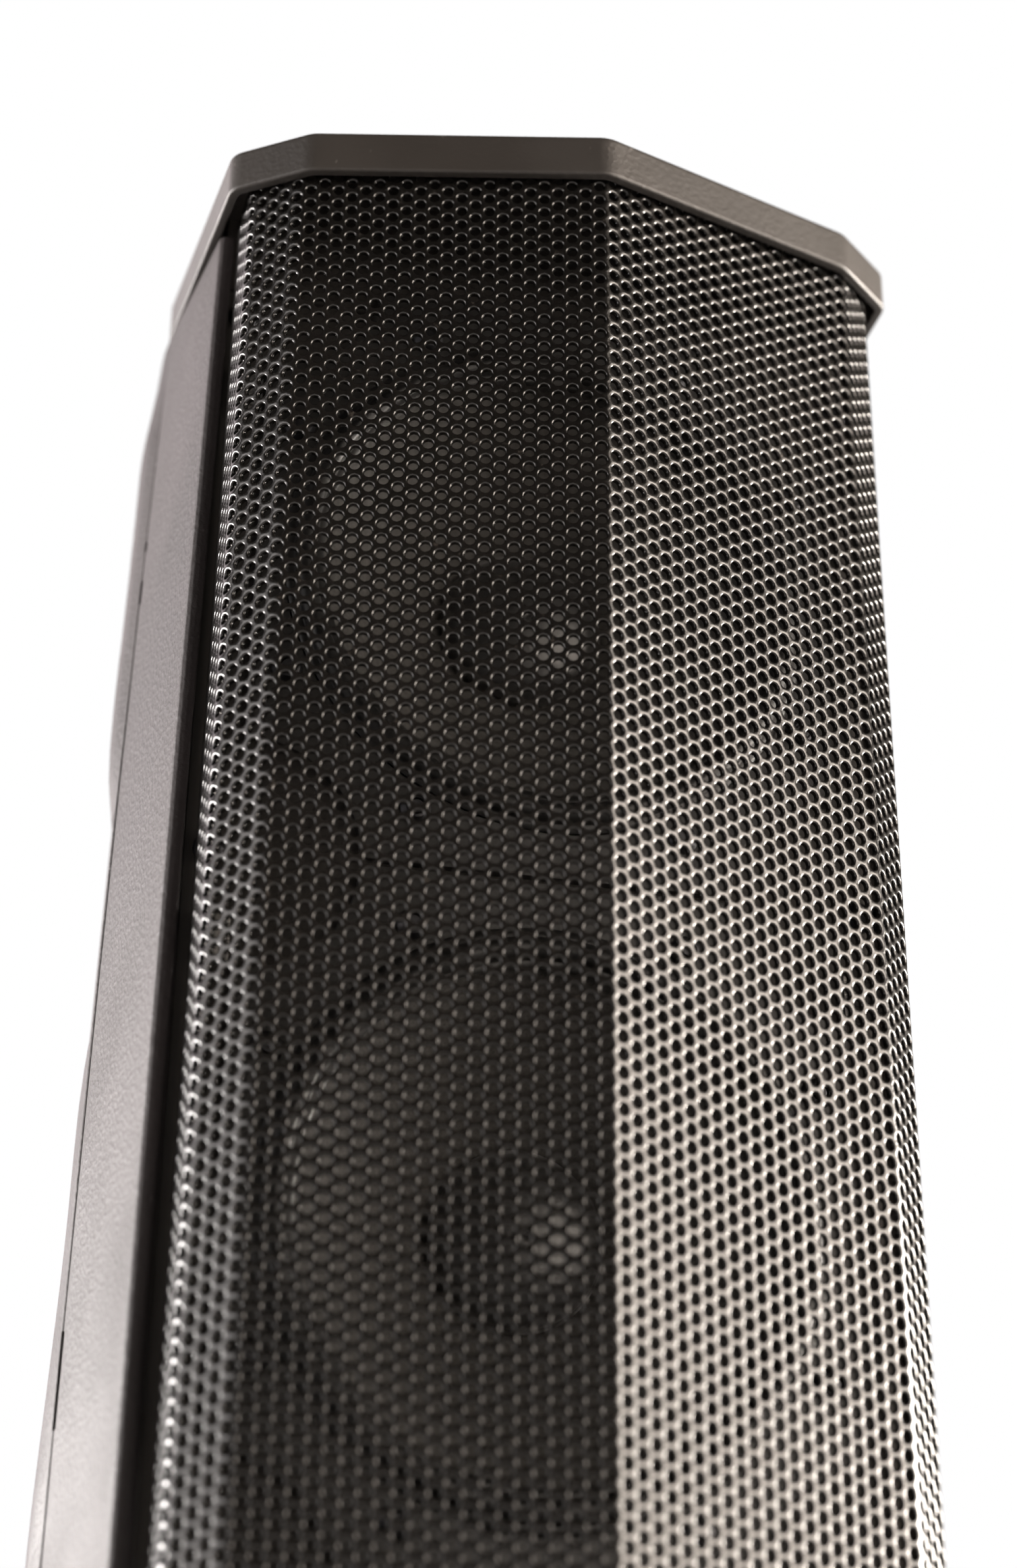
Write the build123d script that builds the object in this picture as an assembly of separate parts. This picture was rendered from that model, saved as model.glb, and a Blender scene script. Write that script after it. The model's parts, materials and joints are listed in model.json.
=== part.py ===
from build123d import *
import os
from math import cos, radians, sin, tan

# Column line array speaker. Millimetres. Front faces -Y, +X is the right hand side seen from the
# audience, +Z up. Origin: on the axis of the pole thread, in the plane of the base's underside.

# ---- driving dimensions -------------------------------------------------------------------------
HEIGHT = 900.0              # over the feet
FOOT_HEIGHT = 6.0
RIDGE_Y = -110.0            # front ridge of the grille
REAR_Y = 110.0              # flat back of the rear shell

# grille: two wide facets meet at the ridge, and a narrow chamfer facet ends each side
FACET_SWEEP = 15.4          # degrees each wide facet falls back from straight across
FACET_WIDTH = 77.2
CHAMFER_SWEEP = 43.5
CHAMFER_WIDTH = 15.0
GRILLE_T = 1.5
CHEEK_SWEEP = 88.0          # the sheet's returns lean inwards a little less than a right angle
GRILLE_RETURN = 16.0        # how far the sheet runs back inside the side rails
GRILLE_TUCK = 4.0           # how far the sheet's ends hide inside the cap rims
CLIP_X = 83.5               # the spring clips press on the sheet's returns from inside

# shells
RAIL_X = 90.3               # half width at the front edge of the side rails, at the ends
RAIL_T = 3.8                # thickness of a rail's front edge
RAIL_BOW = 3.8              # how far a rail's front edge bows out by mid height
SEAM_BOW = 7.0              # how far the sides bow out at the seam by mid height
RAIL_FLARE = 6.8            # degrees the sides open towards the back, at the ends
RAIL_FRONT_Y = -62.5
INNER_X = 88.4              # half width of the room inside
SEAM_Y = -12.0              # joint between the front and rear shells
LIP_R = 1.0                 # rounding of the rear shell's front lip
PROUD = 0.6                 # the rear shell stands this far outside the front shell
BEVEL_Y = 16.0              # the sides turn in to the back from here
BEVEL_IN = 1.8              # and lean in by this much between the seam and there
REAR_FLAT_X = 64.0          # half width of the flat back
WALL = 5.0
CREST_Y = -5.0              # the swellings of the rear shell's sides are highest here
END_SWELL = (               # swelling near the ends: distance from the end, height
    (13.0, 0.0), (21.0, 0.3), (32.0, 1.0), (43.0, 1.7), (54.0, 1.75), (94.0, 1.55),
    (114.0, 1.6), (134.0, 1.4), (143.0, 0.95), (152.0, -0.2), (154.0, -0.5),
)
GRIP_SWELL = (              # long swelling at mid height
    (215.0, -0.5), (221.0, -0.2), (257.0, 0.05), (291.0, 0.5), (307.0, 0.85), (323.0, 1.2),
    (360.0, 1.5), (447.0, 1.6), (534.0, 1.5), (571.0, 1.2), (587.0, 0.85), (603.0, 0.5),
    (637.0, 0.05), (673.0, -0.2), (679.0, -0.5),
)

# caps
RIM_HEIGHT = 12.0
RIM_OVERHANG = 4.0
RIM_T = 2.4
ARRIS_R = 1.6               # rounding of a cap's outer arris
CAP_FOLD = (72.7, -94.4)    # the caps' corners, on the right half
CAP_CHEEK = (90.7, -80.4)
CAP_T = 5.0
CAP_GAP = 1.0               # shadow groove between a cap rim and the shells
PLUG_DEPTH = 14.0
PLUG_T = 4.0
FIT = 0.4                   # assembly gap between moulded parts

# baffle and woofers
BAFFLE_Y = -60.0            # front face of the baffle board
BAFFLE_T = 10.0
WOOFER_PITCH = 163.0
WOOFER_TOP = 102.0          # from the top of the speaker down to the first woofer's axis
FRAME_HALF_W = 75.6
FRAME_HALF_H = 80.6         # leaves a narrow gap between one frame and the next
FRAME_SCALLOP_R = 29.0      # round cut-out at each corner of a frame
FRAME_SCREW_R = 75.0
FRAME_T = 3.0
BASKET_R = 70.0
SURROUND_OUT = 69.0
SURROUND_IN = 59.0
CONE_DEPTH = 29.0
COIL_R = 19.2
DUST_CAP_R = 22.0

# high frequency horn
HORN_W, HORN_H = 120.0, 178.0
HORN_FLANGE_W, HORN_FLANGE_H = 150.0, 200.0
HORN_DEPTH = 60.0
THROAT_R = 12.7
CAN_R = 42.0
CAN_LENGTH = 50.0
DOME_R = 20.0

# amplifier module
PANEL_W, PANEL_H, PANEL_T = 120.0, 316.0, 3.0
PANEL_Z = 210.0
PANEL_WINDOW_W, PANEL_WINDOW_H = 92.0, 104.0
SINK_Z = PANEL_Z + 92.0
FIN_TIP_Y = 120.0
KNOB_Z = PANEL_Z + 6.0
JACK_Z = PANEL_Z - 48.0
MAINS_Z = PANEL_Z - 112.0
KNOB_X = -32.0
LED_X = 30.0
JACK_X = 28.0
INLET_X = -24.0
SWITCH_X = 28.0

# fasteners and mounts
SCREW_R = 2.0
SCREW_HOLE_R = 2.05
SCREW_HEAD_R = 3.8
POST_X = 82.5
POST_R = 5.6
M8_R = 3.4                  # M8 thread's inner radius
M10_R = 4.25                # M10 thread's inner radius
M20_R = 8.75                # M20 thread's inner radius
BRACKET_X, BRACKET_Z = 70.0, 127.0
BRACKET_MID_Z = 614.0
FLY_SPACING = 100.0
FLY_Y = 30.0

# ---- derived places -----------------------------------------------------------------------------
BODY_LOW = 0.0
BODY_TOP = HEIGHT - FOOT_HEIGHT
BODY_MID = (BODY_LOW + BODY_TOP) / 2
SHELL_LOW = BODY_LOW + RIM_HEIGHT + CAP_GAP
SHELL_TOP = BODY_TOP - RIM_HEIGHT - CAP_GAP
UPPER_Z = [BODY_TOP - WOOFER_TOP, BODY_TOP - WOOFER_TOP - WOOFER_PITCH]
LOWER_Z = [2 * BODY_MID - z for z in reversed(UPPER_Z)]
WOOFER_Z = UPPER_Z + LOWER_Z
BAFFLE_BACK = BAFFLE_Y + BAFFLE_T
FOLD = (
    FACET_WIDTH * cos(radians(FACET_SWEEP)),
    RIDGE_Y + FACET_WIDTH * sin(radians(FACET_SWEEP)),
)
CHAMFER_END = (
    FOLD[0] + CHAMFER_WIDTH * cos(radians(CHAMFER_SWEEP)),
    FOLD[1] + CHAMFER_WIDTH * sin(radians(CHAMFER_SWEEP)),
)
CHEEK_END = (
    CHAMFER_END[0] + GRILLE_RETURN * cos(radians(CHEEK_SWEEP)),
    CHAMFER_END[1] + GRILLE_RETURN * sin(radians(CHEEK_SWEEP)),
)
SEAM_X = RAIL_X + (SEAM_Y - RAIL_FRONT_Y) * tan(radians(RAIL_FLARE))
POST_Z = [
    SHELL_LOW + 9,
    (WOOFER_Z[2] + WOOFER_Z[3]) / 2,
    WOOFER_Z[2] + WOOFER_PITCH / 2,
    WOOFER_Z[1] - WOOFER_PITCH / 2,
    (WOOFER_Z[0] + WOOFER_Z[1]) / 2,
    SHELL_TOP - 9,
]
POST_Z[0] += PLUG_DEPTH
POST_Z[-1] -= PLUG_DEPTH


# ---- small helpers ------------------------------------------------------------------------------
def sketch(outline, radii=None):
    """A closed outline as a face, with its corners rounded where radii gives a radius.

    radii maps a corner (x, y) on the right half to its radius, and is used on both halves."""
    face = Polygon(*outline, align=None)
    for (x, y), radius in (radii or {}).items():
        near = [v for v in face.vertices() if abs(abs(v.X) - x) < 0.01 and abs(v.Y - y) < 0.01]
        face = fillet(near, radius)
    return face


def slab(low, high, outline, radii=None):
    """The outline (x, y) raised from z = low to z = high."""
    return Pos(0, 0, low) * extrude(sketch(outline, radii), high - low)


def both_sides(half):
    """A right half outline from front to back, completed with its mirror image."""
    left = [(-x, y) for x, y in reversed(half) if x > 0]
    return list(half) + left


def block(x0, x1, y0, y1, z0, z1):
    centre = Pos((x0 + x1) / 2, (y0 + y1) / 2, (z0 + z1) / 2)
    return centre * Box(abs(x1 - x0), abs(y1 - y0), abs(z1 - z0))


def turned(*points):
    """A solid turned about the Y axis from (radius, y) points."""
    return revolve(Polygon(*points, align=None), Axis.Y)


def rod_y(r, y0, y1, x=0.0, z=0.0):
    return Pos(x, (y0 + y1) / 2, z) * Rot(90, 0, 0) * Cylinder(r, abs(y1 - y0))


def rod_z(r, z0, z1, x=0.0, y=0.0):
    return Pos(x, y, (z0 + z1) / 2) * Cylinder(r, abs(z1 - z0))


def rod_x(r, x0, x1, y=0.0, z=0.0):
    return Pos((x0 + x1) / 2, y, z) * Rot(0, 90, 0) * Cylinder(r, abs(x1 - x0))


def at_woofers(shape):
    """One copy of a shape at each woofer's axis."""
    return [Pos(0, 0, z) * shape for z in WOOFER_Z]


def group(shapes):
    """Several separate solids kept in one node."""
    solids = []
    for shape in shapes:
        solids += list(shape.solids())
    return Compound(solids)


# ---- outlines -----------------------------------------------------------------------------------
def grille_line():
    return [(0, RIDGE_Y), FOLD, CHAMFER_END, CHEEK_END]


def bow(z):
    """0 at the ends of the shells and 1 at mid height."""
    half = (SHELL_TOP - SHELL_LOW) / 2
    return 1 - ((z - BODY_MID) / half) ** 2


def rail_section(z):
    """One side rail's section: a front lip, an outer side that flares, a straight inside."""
    front = RAIL_X + RAIL_BOW * bow(z)
    return [
        (front - RAIL_T, RAIL_FRONT_Y),
        (front - 2.2, RAIL_FRONT_Y),
        (front - 1.1, RAIL_FRONT_Y + 0.3),
        (front - 0.3, RAIL_FRONT_Y + 1.1),
        (front, RAIL_FRONT_Y + 2.2),
        (SEAM_X + SEAM_BOW * bow(z), SEAM_Y),
        (INNER_X, SEAM_Y),
        (INNER_X, BAFFLE_Y - FIT),
        (front - RAIL_T, BAFFLE_Y - FIT),
    ]


def rear_face(z, proud):
    """The rear shell's section, standing proud of the front shell, with soft corners."""
    x = SEAM_X + SEAM_BOW * bow(z) + proud
    lip, bevel = (x, SEAM_Y), (x - BEVEL_IN, BEVEL_Y)
    back = (REAR_FLAT_X + 2 * bow(z), REAR_Y)
    return sketch(both_sides([lip, bevel, back]), {lip: LIP_R, bevel: 24.0, back: 9.0})


def room_outline(inset):
    """The room behind the baffle, pulled in by inset on every side."""
    side = INNER_X - inset
    back_x = REAR_FLAT_X - WALL / 2 - inset
    return both_sides([
        (side, BAFFLE_Y + inset),
        (side, BEVEL_Y - WALL),
        (back_x, REAR_Y - WALL - inset),
    ])


def cap_face(inset):
    """The caps' section, pulled in by inset: four facets in front, then the sides and the back."""
    ridge = (0, RIDGE_Y - RIM_OVERHANG)
    side = (SEAM_X + 0.2, SEAM_Y + 2)
    bevel = (SEAM_X - 2.6, BEVEL_Y)
    back = (REAR_FLAT_X - 1.5, REAR_Y - 1.5)
    outline = both_sides([ridge, CAP_FOLD, CAP_CHEEK, side, bevel, back])
    radii = {ridge: 9.0, CAP_FOLD: 9.0, CAP_CHEEK: 6.0, side: 8.0, bevel: 24.0, back: 9.0}
    face = sketch(outline, radii)
    return offset(face, -inset) if inset else face


# ---- enclosure ----------------------------------------------------------------------------------
def post_positions():
    return [(side * POST_X, z) for z in POST_Z for side in (-1, 1)]


def shell_levels():
    """Heights of the sections the bowed shells are drawn through."""
    count = 6
    return [SHELL_LOW + (SHELL_TOP - SHELL_LOW) * k / count for k in range(count + 1)]


def front_shell():
    """Front moulding: two bowed side rails, braces between them, and the screw posts."""
    sections = [Pos(0, 0, z) * sketch(rail_section(z)) for z in shell_levels()]
    rail = loft(sections)
    body = rail + mirror(rail, Plane.YZ)
    for x, z in post_positions():
        side = 1 if x > 0 else -1
        body += rod_y(POST_R, BAFFLE_BACK, SEAM_Y, x, z)
        body += block(x, side * (INNER_X + 0.5), BAFFLE_BACK, SEAM_Y, z - 2, z + 2)
    for z in POST_Z[1:-1]:
        body += block(-INNER_X, INNER_X, BAFFLE_BACK, BAFFLE_BACK + 10, z - 4, z + 4)
    for x, z in post_positions():
        body -= rod_y(SCREW_HOLE_R, SEAM_Y - 24, SEAM_Y + 1, x, z)
        body -= rod_y(SCREW_HOLE_R, BAFFLE_BACK - 1, BAFFLE_BACK + 7, x, z)
    for notch in seam_notches():
        body -= notch
    return body


def seam_notches():
    """Short clip windows along the seam."""
    notches = []
    for drop, length in ((80.0, 3.0), (94.0, 7.0), (299.0, 22.0)):
        for z in (BODY_TOP - drop, BODY_LOW + drop):
            for side in (-1, 1):
                x = SEAM_X + SEAM_BOW * bow(z)
                notches.append(block(
                    side * (x - 1.6), side * (x + 8), SEAM_Y - 0.8, SEAM_Y + 0.5,
                    z - length / 2, z + length / 2,
                ))
    return notches


def rear_skin():
    """The rear shell's outer form, bowed like the rails."""
    sections = []
    for z in shell_levels():
        end = z in (SHELL_LOW, SHELL_TOP)
        sections.append(Pos(0, 0, z) * rear_face(z, 0.2 if end else PROUD))
    return loft(sections)


def side_pads():
    """Swellings of the rear shell's lip that die away towards the back."""
    from_top = [(BODY_TOP - d, h) for d, h in reversed(END_SWELL)]
    from_bottom = [(BODY_LOW + d, h) for d, h in END_SWELL]
    middle = [(BODY_LOW + d, h) for d, h in GRIP_SWELL]
    pads = []
    for crest in (from_bottom, middle, from_top):
        near, high, far = [], [], []
        for z, height in crest:
            lip = SEAM_X + SEAM_BOW * bow(z) + PROUD
            near.append((lip - 0.7, z))
            high.append((lip + height, z))
            far.append((lip - BEVEL_IN - 0.8, z))
        pad = loft([pad_face(near, SEAM_Y), pad_face(high, CREST_Y), pad_face(far, BEVEL_Y + 2)])
        pads += [pad, mirror(pad, Plane.YZ)]
    return pads


def pad_face(crest, y):
    """A face in a plane across Y, bounded by a smooth crest and a straight line inside the shell."""
    inner = INNER_X + 1.5
    (_, low), (_, high) = crest[0], crest[-1]
    edges = [
        Spline(*[(x, 0, z) for x, z in crest]),
        Line((crest[-1][0], 0, high), (inner, 0, high)),
        Line((inner, 0, high), (inner, 0, low)),
        Line((inner, 0, low), (crest[0][0], 0, low)),
    ]
    return Pos(0, y, 0) * Face(Wire(edges))


def bracket_points():
    return [
        (sx * BRACKET_X / 2, BRACKET_MID_Z + sz * BRACKET_Z / 2)
        for sx in (-1, 1) for sz in (-1, 1)
    ]


def cap_screw_points():
    """The screws along Y that hold the two caps to the rear shell."""
    return [
        (sx * 44.0, z)
        for sx in (-1, 1)
        for z in (SHELL_LOW + PLUG_DEPTH / 2 - 2, SHELL_TOP - PLUG_DEPTH / 2 + 2)
    ]


def rear_shell():
    """Rear moulding, with the amplifier opening, screw posts and bracket bosses."""
    body = rear_skin()
    for pad in side_pads():
        body += pad
    body -= slab(SHELL_LOW - 1, SHELL_TOP + 1, room_outline(0))
    low, high = PANEL_Z - PANEL_H / 2, PANEL_Z + PANEL_H / 2
    half = PANEL_W / 2
    body -= block(-half - FIT, half + FIT, REAR_Y - PANEL_T, REAR_Y + 9, low - FIT, high + FIT)
    body -= block(-half + 9, half - 9, REAR_Y - 12, REAR_Y + 9, low + 10, high - 10)
    for x, z in panel_screw_points():
        body += rod_y(4.5, REAR_Y - 14, REAR_Y - PANEL_T, x, z)
        body -= rod_y(1.55, REAR_Y - 13, REAR_Y, x, z)
    for x, z in bracket_points():
        body += rod_y(10.0, REAR_Y - 22, REAR_Y - WALL + 1, x, z)
        body -= rod_y(6.55, REAR_Y - 19, REAR_Y + 1, x, z)
    skin = rear_skin()
    for x, z in post_positions():
        body += rod_y(POST_R, SEAM_Y, REAR_Y, x, z) & skin
    for x, z in post_positions():
        body -= rod_y(SCREW_HOLE_R, SEAM_Y - 1, REAR_Y, x, z)
        body -= rod_y(SCREW_HEAD_R + 0.4, 38.0, REAR_Y, x, z)
    for x, z in cap_screw_points():
        body -= rod_y(SCREW_HOLE_R, REAR_Y - WALL - 2, REAR_Y + 1, x, z)
    for notch in seam_notches():
        body -= notch
    return body


def shell_gasket():
    """Rubber cord pressed in the seam, just inside the shells' outer edge."""
    cords = []
    for side in (-1, 1):
        x = side * (INNER_X + 2.2)
        cords.append(block(x - 1, x + 1, SEAM_Y - 1.0, SEAM_Y + 0.0, SHELL_LOW + 4, SHELL_TOP - 4))
    return group(cords)


def gasket_groove():
    grooves = None
    for side in (-1, 1):
        x = side * (INNER_X + 2.2)
        groove = block(
            x - 1.1, x + 1.1, SEAM_Y - 1.1, SEAM_Y + 1, SHELL_LOW + 3.8, SHELL_TOP - 3.8
        )
        grooves = groove if grooves is None else grooves + groove
    return grooves


def baffle_board():
    """Plywood baffle with a hole for each driver and the horn."""
    side = INNER_X - 0.3
    board = block(
        -side, side, BAFFLE_Y, BAFFLE_BACK,
        SHELL_LOW + PLUG_DEPTH + 1, SHELL_TOP - PLUG_DEPTH - 1,
    )
    for z in WOOFER_Z:
        board -= rod_y(BASKET_R + 0.5, BAFFLE_Y - 1, BAFFLE_BACK + 1, 0, z)
    board -= block(
        -HORN_W / 2 - 5, HORN_W / 2 + 5, BAFFLE_Y - 1, BAFFLE_BACK + 1,
        BODY_MID - HORN_H / 2 - 5, BODY_MID + HORN_H / 2 + 5,
    )
    for x, z in front_screw_points():
        board -= rod_y(SCREW_HOLE_R, BAFFLE_Y - 1, BAFFLE_BACK + 1, x, z)
    return board


def cap(top):
    """A moulded end cap: flat plate, rim all round, and a plug that closes the room inside."""
    outer = extrude(cap_face(0), RIM_HEIGHT)
    outer = fillet(outer.faces().sort_by(Axis.Z)[0].edges(), ARRIS_R)
    outer = fillet(outer.faces().sort_by(Axis.Z)[-1].edges(), 0.7)
    outer -= Pos(0, 0, CAP_T) * extrude(cap_face(RIM_T), RIM_HEIGHT)
    plug = slab(CAP_T - 1, RIM_HEIGHT + CAP_GAP + PLUG_DEPTH, room_outline(FIT))
    plug -= slab(CAP_T, RIM_HEIGHT + CAP_GAP + PLUG_DEPTH + 1, room_outline(FIT + PLUG_T))
    body = outer + plug
    for x, z in cap_screw_points():
        if z < BODY_MID:
            depth = z - BODY_LOW
            body += block(x - 6, x + 6, REAR_Y - 22, REAR_Y - WALL - FIT, CAP_T - 1, depth + 6)
            body -= rod_y(SCREW_HOLE_R, REAR_Y - 20, REAR_Y, x, depth)
    if top:
        return Pos(0, 0, BODY_TOP) * Rot(0, 180, 0) * body
    return Pos(0, 0, BODY_LOW) * body


def top_cap():
    """The top cap, with two bosses for the fly point inserts."""
    body = cap(True)
    for side in (-1, 1):
        x = side * FLY_SPACING / 2
        body += rod_z(10.5, BODY_TOP - 26, BODY_TOP - CAP_T + 1, x, FLY_Y)
        body -= rod_z(8.05, BODY_TOP - 22, BODY_TOP + 1, x, FLY_Y)
    return body


def foot_points():
    return [(60.0, -72.0), (-60.0, -72.0), (48.0, 78.0), (-48.0, 78.0)]


def bottom_cap():
    """The base, with a boss for the pole thread and shallow seats for the feet."""
    body = cap(False)
    body += rod_z(24.0, BODY_LOW + CAP_T - 1, BODY_LOW + 20)
    body -= rod_z(16.05, BODY_LOW - 1, BODY_LOW + 21)
    body -= rod_z(26.05, BODY_LOW - 1, BODY_LOW + 3)
    for x, y in foot_points():
        body -= rod_z(13.05, BODY_LOW - 1, BODY_LOW + 2, x, y)
        body -= rod_z(3.05, BODY_LOW, BODY_LOW + CAP_T + 1, x, y)
    return body


def feet():
    """Four rubber feet, each with a spigot pushed through the base."""
    pads = []
    for x, y in foot_points():
        pad = rod_z(13.0, BODY_LOW - FOOT_HEIGHT, BODY_LOW + 2, x, y)
        pad = chamfer(pad.edges().sort_by(Axis.Z)[0], 1.5)
        pads.append(pad + rod_z(3.0, BODY_LOW, BODY_LOW + CAP_T + 0.5, x, y))
    return group(pads)


def pole_thread():
    """Steel flange nut in the base for an M20 pole."""
    nut = rod_z(16.0, BODY_LOW, BODY_LOW + 30) + rod_z(26.0, BODY_LOW, BODY_LOW + 2.9)
    return nut - rod_z(M20_R, BODY_LOW - 1, BODY_LOW + 31)


def grille():
    """Folded steel sheet: two wide facets, two chamfers and two returns inside the rails."""
    low = BODY_LOW + RIM_HEIGHT - GRILLE_TUCK
    high = BODY_TOP - RIM_HEIGHT + GRILLE_TUCK
    skin = Polygon(*both_sides(grille_line()), align=None)
    core = offset(skin, -GRILLE_T, kind=Kind.INTERSECTION)
    sheet = Pos(0, 0, low) * extrude(skin - core, high - low)
    back = CHEEK_END[1]
    inside = CHEEK_END[0] - GRILLE_T
    return sheet - block(-inside, inside, back - 4, back + 2, low - 1, high + 1)


def grille_clips():
    """Spring clips on the baffle that hold the sheet's returns."""
    clips = []
    for z in POST_Z:
        step = 22 if z < BODY_MID else -22
        for side in (-1, 1):
            low, high = z + step - 6, z + step + 6
            seat = block(side * 76.5, side * CLIP_X, BAFFLE_Y - 1, BAFFLE_Y, low, high)
            leaf = block(side * (CLIP_X - 0.8), side * CLIP_X, BAFFLE_Y - 11, BAFFLE_Y, low, high)
            clips.append(seat + leaf)
    return group(clips)


# ---- woofers ------------------------------------------------------------------------------------
# Depth d runs back from the baffle's front face.
SPIDER_D = 34.0
PLATE_D = 44.0
PLATE_T = 6.0
MAGNET_T = 15.0
MAGNET_R = 46.0
BACK_D = PLATE_D + PLATE_T + MAGNET_T
LEDGE_D = 38.0


def depth(d):
    return BAFFLE_Y + d


def ring_of_screws():
    """Eight screw places round a woofer, two at each corner of its flange."""
    angles = [radians(90 * k + turn) for k in range(4) for turn in (27, 63)]
    return [(FRAME_SCREW_R * cos(angle), FRAME_SCREW_R * sin(angle)) for angle in angles]


def basket_flange():
    """Flat flange with straight sides and a round cut-out at each corner."""
    front, back = depth(-FRAME_T), depth(-0.05)
    plate = block(-FRAME_HALF_W, FRAME_HALF_W, front, back, -FRAME_HALF_H, FRAME_HALF_H)
    for side in (-1, 1):
        for end in (-1, 1):
            x, z = side * FRAME_HALF_W, end * WOOFER_PITCH / 2
            plate -= rod_y(FRAME_SCALLOP_R, front - 1, back + 1, x, z)
    return plate - rod_y(SURROUND_OUT + 2, front - 1, back + 1)


def basket():
    """Pressed steel frame: flange, six legs, spider ledge and the ring that carries the motor."""
    rim = FRAME_HALF_W - 1
    shell = turned(
        (rim, depth(-FRAME_T)), (rim, depth(-0.05)), (BASKET_R, depth(-0.05)),
        (BASKET_R - 0.5, depth(14)), (54.0, depth(LEDGE_D - 2)), (51.0, depth(PLATE_D)),
        (22.5, depth(PLATE_D)), (22.5, depth(PLATE_D - 2.5)), (42.0, depth(PLATE_D - 2.5)),
        (44.0, depth(SPIDER_D + 0.6)), (50.0, depth(SPIDER_D + 0.6)),
        (67.0, depth(13)), (67.4, depth(0.8)), (SURROUND_OUT + 0.2, depth(0.8)),
        (SURROUND_OUT + 0.2, depth(-FRAME_T)),
    )
    window = Pos(0, depth(24), 60) * Box(30, 15, 60)
    for k in range(6):
        shell -= Rot(0, 60 * k, 0) * window
    shell += basket_flange()
    for x, z in ring_of_screws():
        shell -= rod_y(SCREW_HOLE_R, depth(-FRAME_T - 1), depth(1), x, z)
    shell += block(49.0, 62.0, depth(PLATE_D - 4), depth(PLATE_D - 2.4), -9, 9)
    return shell


def motor_top_plate():
    return turned(
        (20.9, depth(PLATE_D + 0.05)), (48.0, depth(PLATE_D + 0.05)),
        (48.0, depth(PLATE_D + PLATE_T)), (20.9, depth(PLATE_D + PLATE_T)),
    )


def motor_magnet():
    return turned(
        (25.0, depth(PLATE_D + PLATE_T)), (MAGNET_R, depth(PLATE_D + PLATE_T)),
        (MAGNET_R, depth(BACK_D)), (25.0, depth(BACK_D)),
    )


def motor_yoke():
    """Back plate and pole piece, with a vent through the middle."""
    return turned(
        (5.0, depth(PLATE_D - 1)), (18.2, depth(PLATE_D - 1)), (18.2, depth(BACK_D)),
        (MAGNET_R - 2, depth(BACK_D)), (MAGNET_R - 4, depth(BACK_D + 6)), (5.0, depth(BACK_D + 6)),
    )


def cone():
    """Paper cone with a slightly curved flare, a glue lip outside and a neck at the coil."""
    front, back = [], []
    steps = 8
    for i in range(steps + 1):
        t = i / steps
        r = SURROUND_IN + 1.5 + (COIL_R + 0.9 - SURROUND_IN - 1.5) * t
        d = -1.0 + CONE_DEPTH * (t + 0.18 * t * (1 - t))
        front.append((r, depth(d)))
        back.append((r, depth(d + 1.1)))
    return turned(*front, *reversed(back))


def dust_cap():
    """A shallow dome glued on the cone over the coil."""
    dome = []
    rise = 8.0
    edge = 25.6
    steps = 8
    for i in range(steps + 1):
        r = DUST_CAP_R * i / steps
        dome.append((r, depth(edge - rise * (1 - (r / DUST_CAP_R) ** 2) - 1.2)))
    inner = [(r, y + 0.8) for r, y in reversed(dome)]
    return turned(*dome, *inner)


def voice_coil():
    """Former tube with the winding near its end."""
    return turned(
        (COIL_R - 0.35, depth(CONE_DEPTH - 1)), (COIL_R, depth(CONE_DEPTH - 1)),
        (COIL_R, depth(41)), (COIL_R + 0.9, depth(41)), (COIL_R + 0.9, depth(53)),
        (COIL_R - 0.35, depth(53)),
    )


def half_roll(r_in, r_out, d_base, height, thick, steps=10):
    """Section of a half roll between two radii, bulging forwards."""
    outer, inner = [], []
    mid, half = (r_in + r_out) / 2, (r_out - r_in) / 2
    for i in range(steps + 1):
        a = radians(180 * i / steps)
        outer.append((mid - half * cos(a), depth(d_base - height * sin(a))))
        shrink = half - thick
        inner.append((mid - shrink * cos(a), depth(d_base - (height - thick) * sin(a))))
    return outer, list(reversed(inner))


def surround():
    """Rubber half roll between the frame's ledge and the cone's edge."""
    outer, inner = half_roll(SURROUND_IN + 1.8, SURROUND_OUT - 1.8, -1.4, 5.2, 1.0)
    lip_in = [(SURROUND_IN, depth(-1.1)), (SURROUND_IN, depth(-2.0))]
    lip_out = [(SURROUND_OUT, depth(-2.0)), (SURROUND_OUT, depth(0.7)), (67.6, depth(0.7))]
    return turned(*lip_in, *outer, *lip_out, *inner)


def spider():
    """Corrugated cloth disc that centres the coil."""
    front, back = [], []
    steps = 40
    r_in, r_out = COIL_R + 0.05, 49.0
    for i in range(steps + 1):
        t = i / steps
        r = r_in + (r_out - r_in) * t
        fade = min(1.0, 6 * t, 6 * (1 - t))
        d = SPIDER_D - 0.6 + 1.3 * fade * sin(radians(360 * 4.5 * t))
        front.append((r, depth(d)))
        back.append((r, depth(d + 0.6)))
    return turned(*front, *reversed(back))


# ---- high frequency unit ------------------------------------------------------------------------
CAN_Y = BAFFLE_Y + HORN_DEPTH
SEAT_D = 24.0               # depth of the diaphragm's seat in the can


def horn_form(grow):
    """The horn's flare, larger by grow, from a tall mouth to a round throat."""
    turn = Rot(90, 0, 0)
    sections = []
    for t in (0.0, 0.45, 1.0):
        w = HORN_W / 2 * (1 - t) ** 1.25 + THROAT_R * (1 - (1 - t) ** 1.25)
        h = HORN_H / 2 * (1 - t) ** 0.9 + THROAT_R * (1 - (1 - t) ** 0.9)
        corner = min(w, h) * (0.2 + 0.78 * t)
        y = BAFFLE_Y - FRAME_T + (HORN_DEPTH + FRAME_T) * t
        face = RectangleRounded(2 * (w + grow), 2 * (h + grow), corner + grow)
        sections.append(Pos(0, y, BODY_MID) * turn * face)
    return loft(sections, ruled=True)


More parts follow.
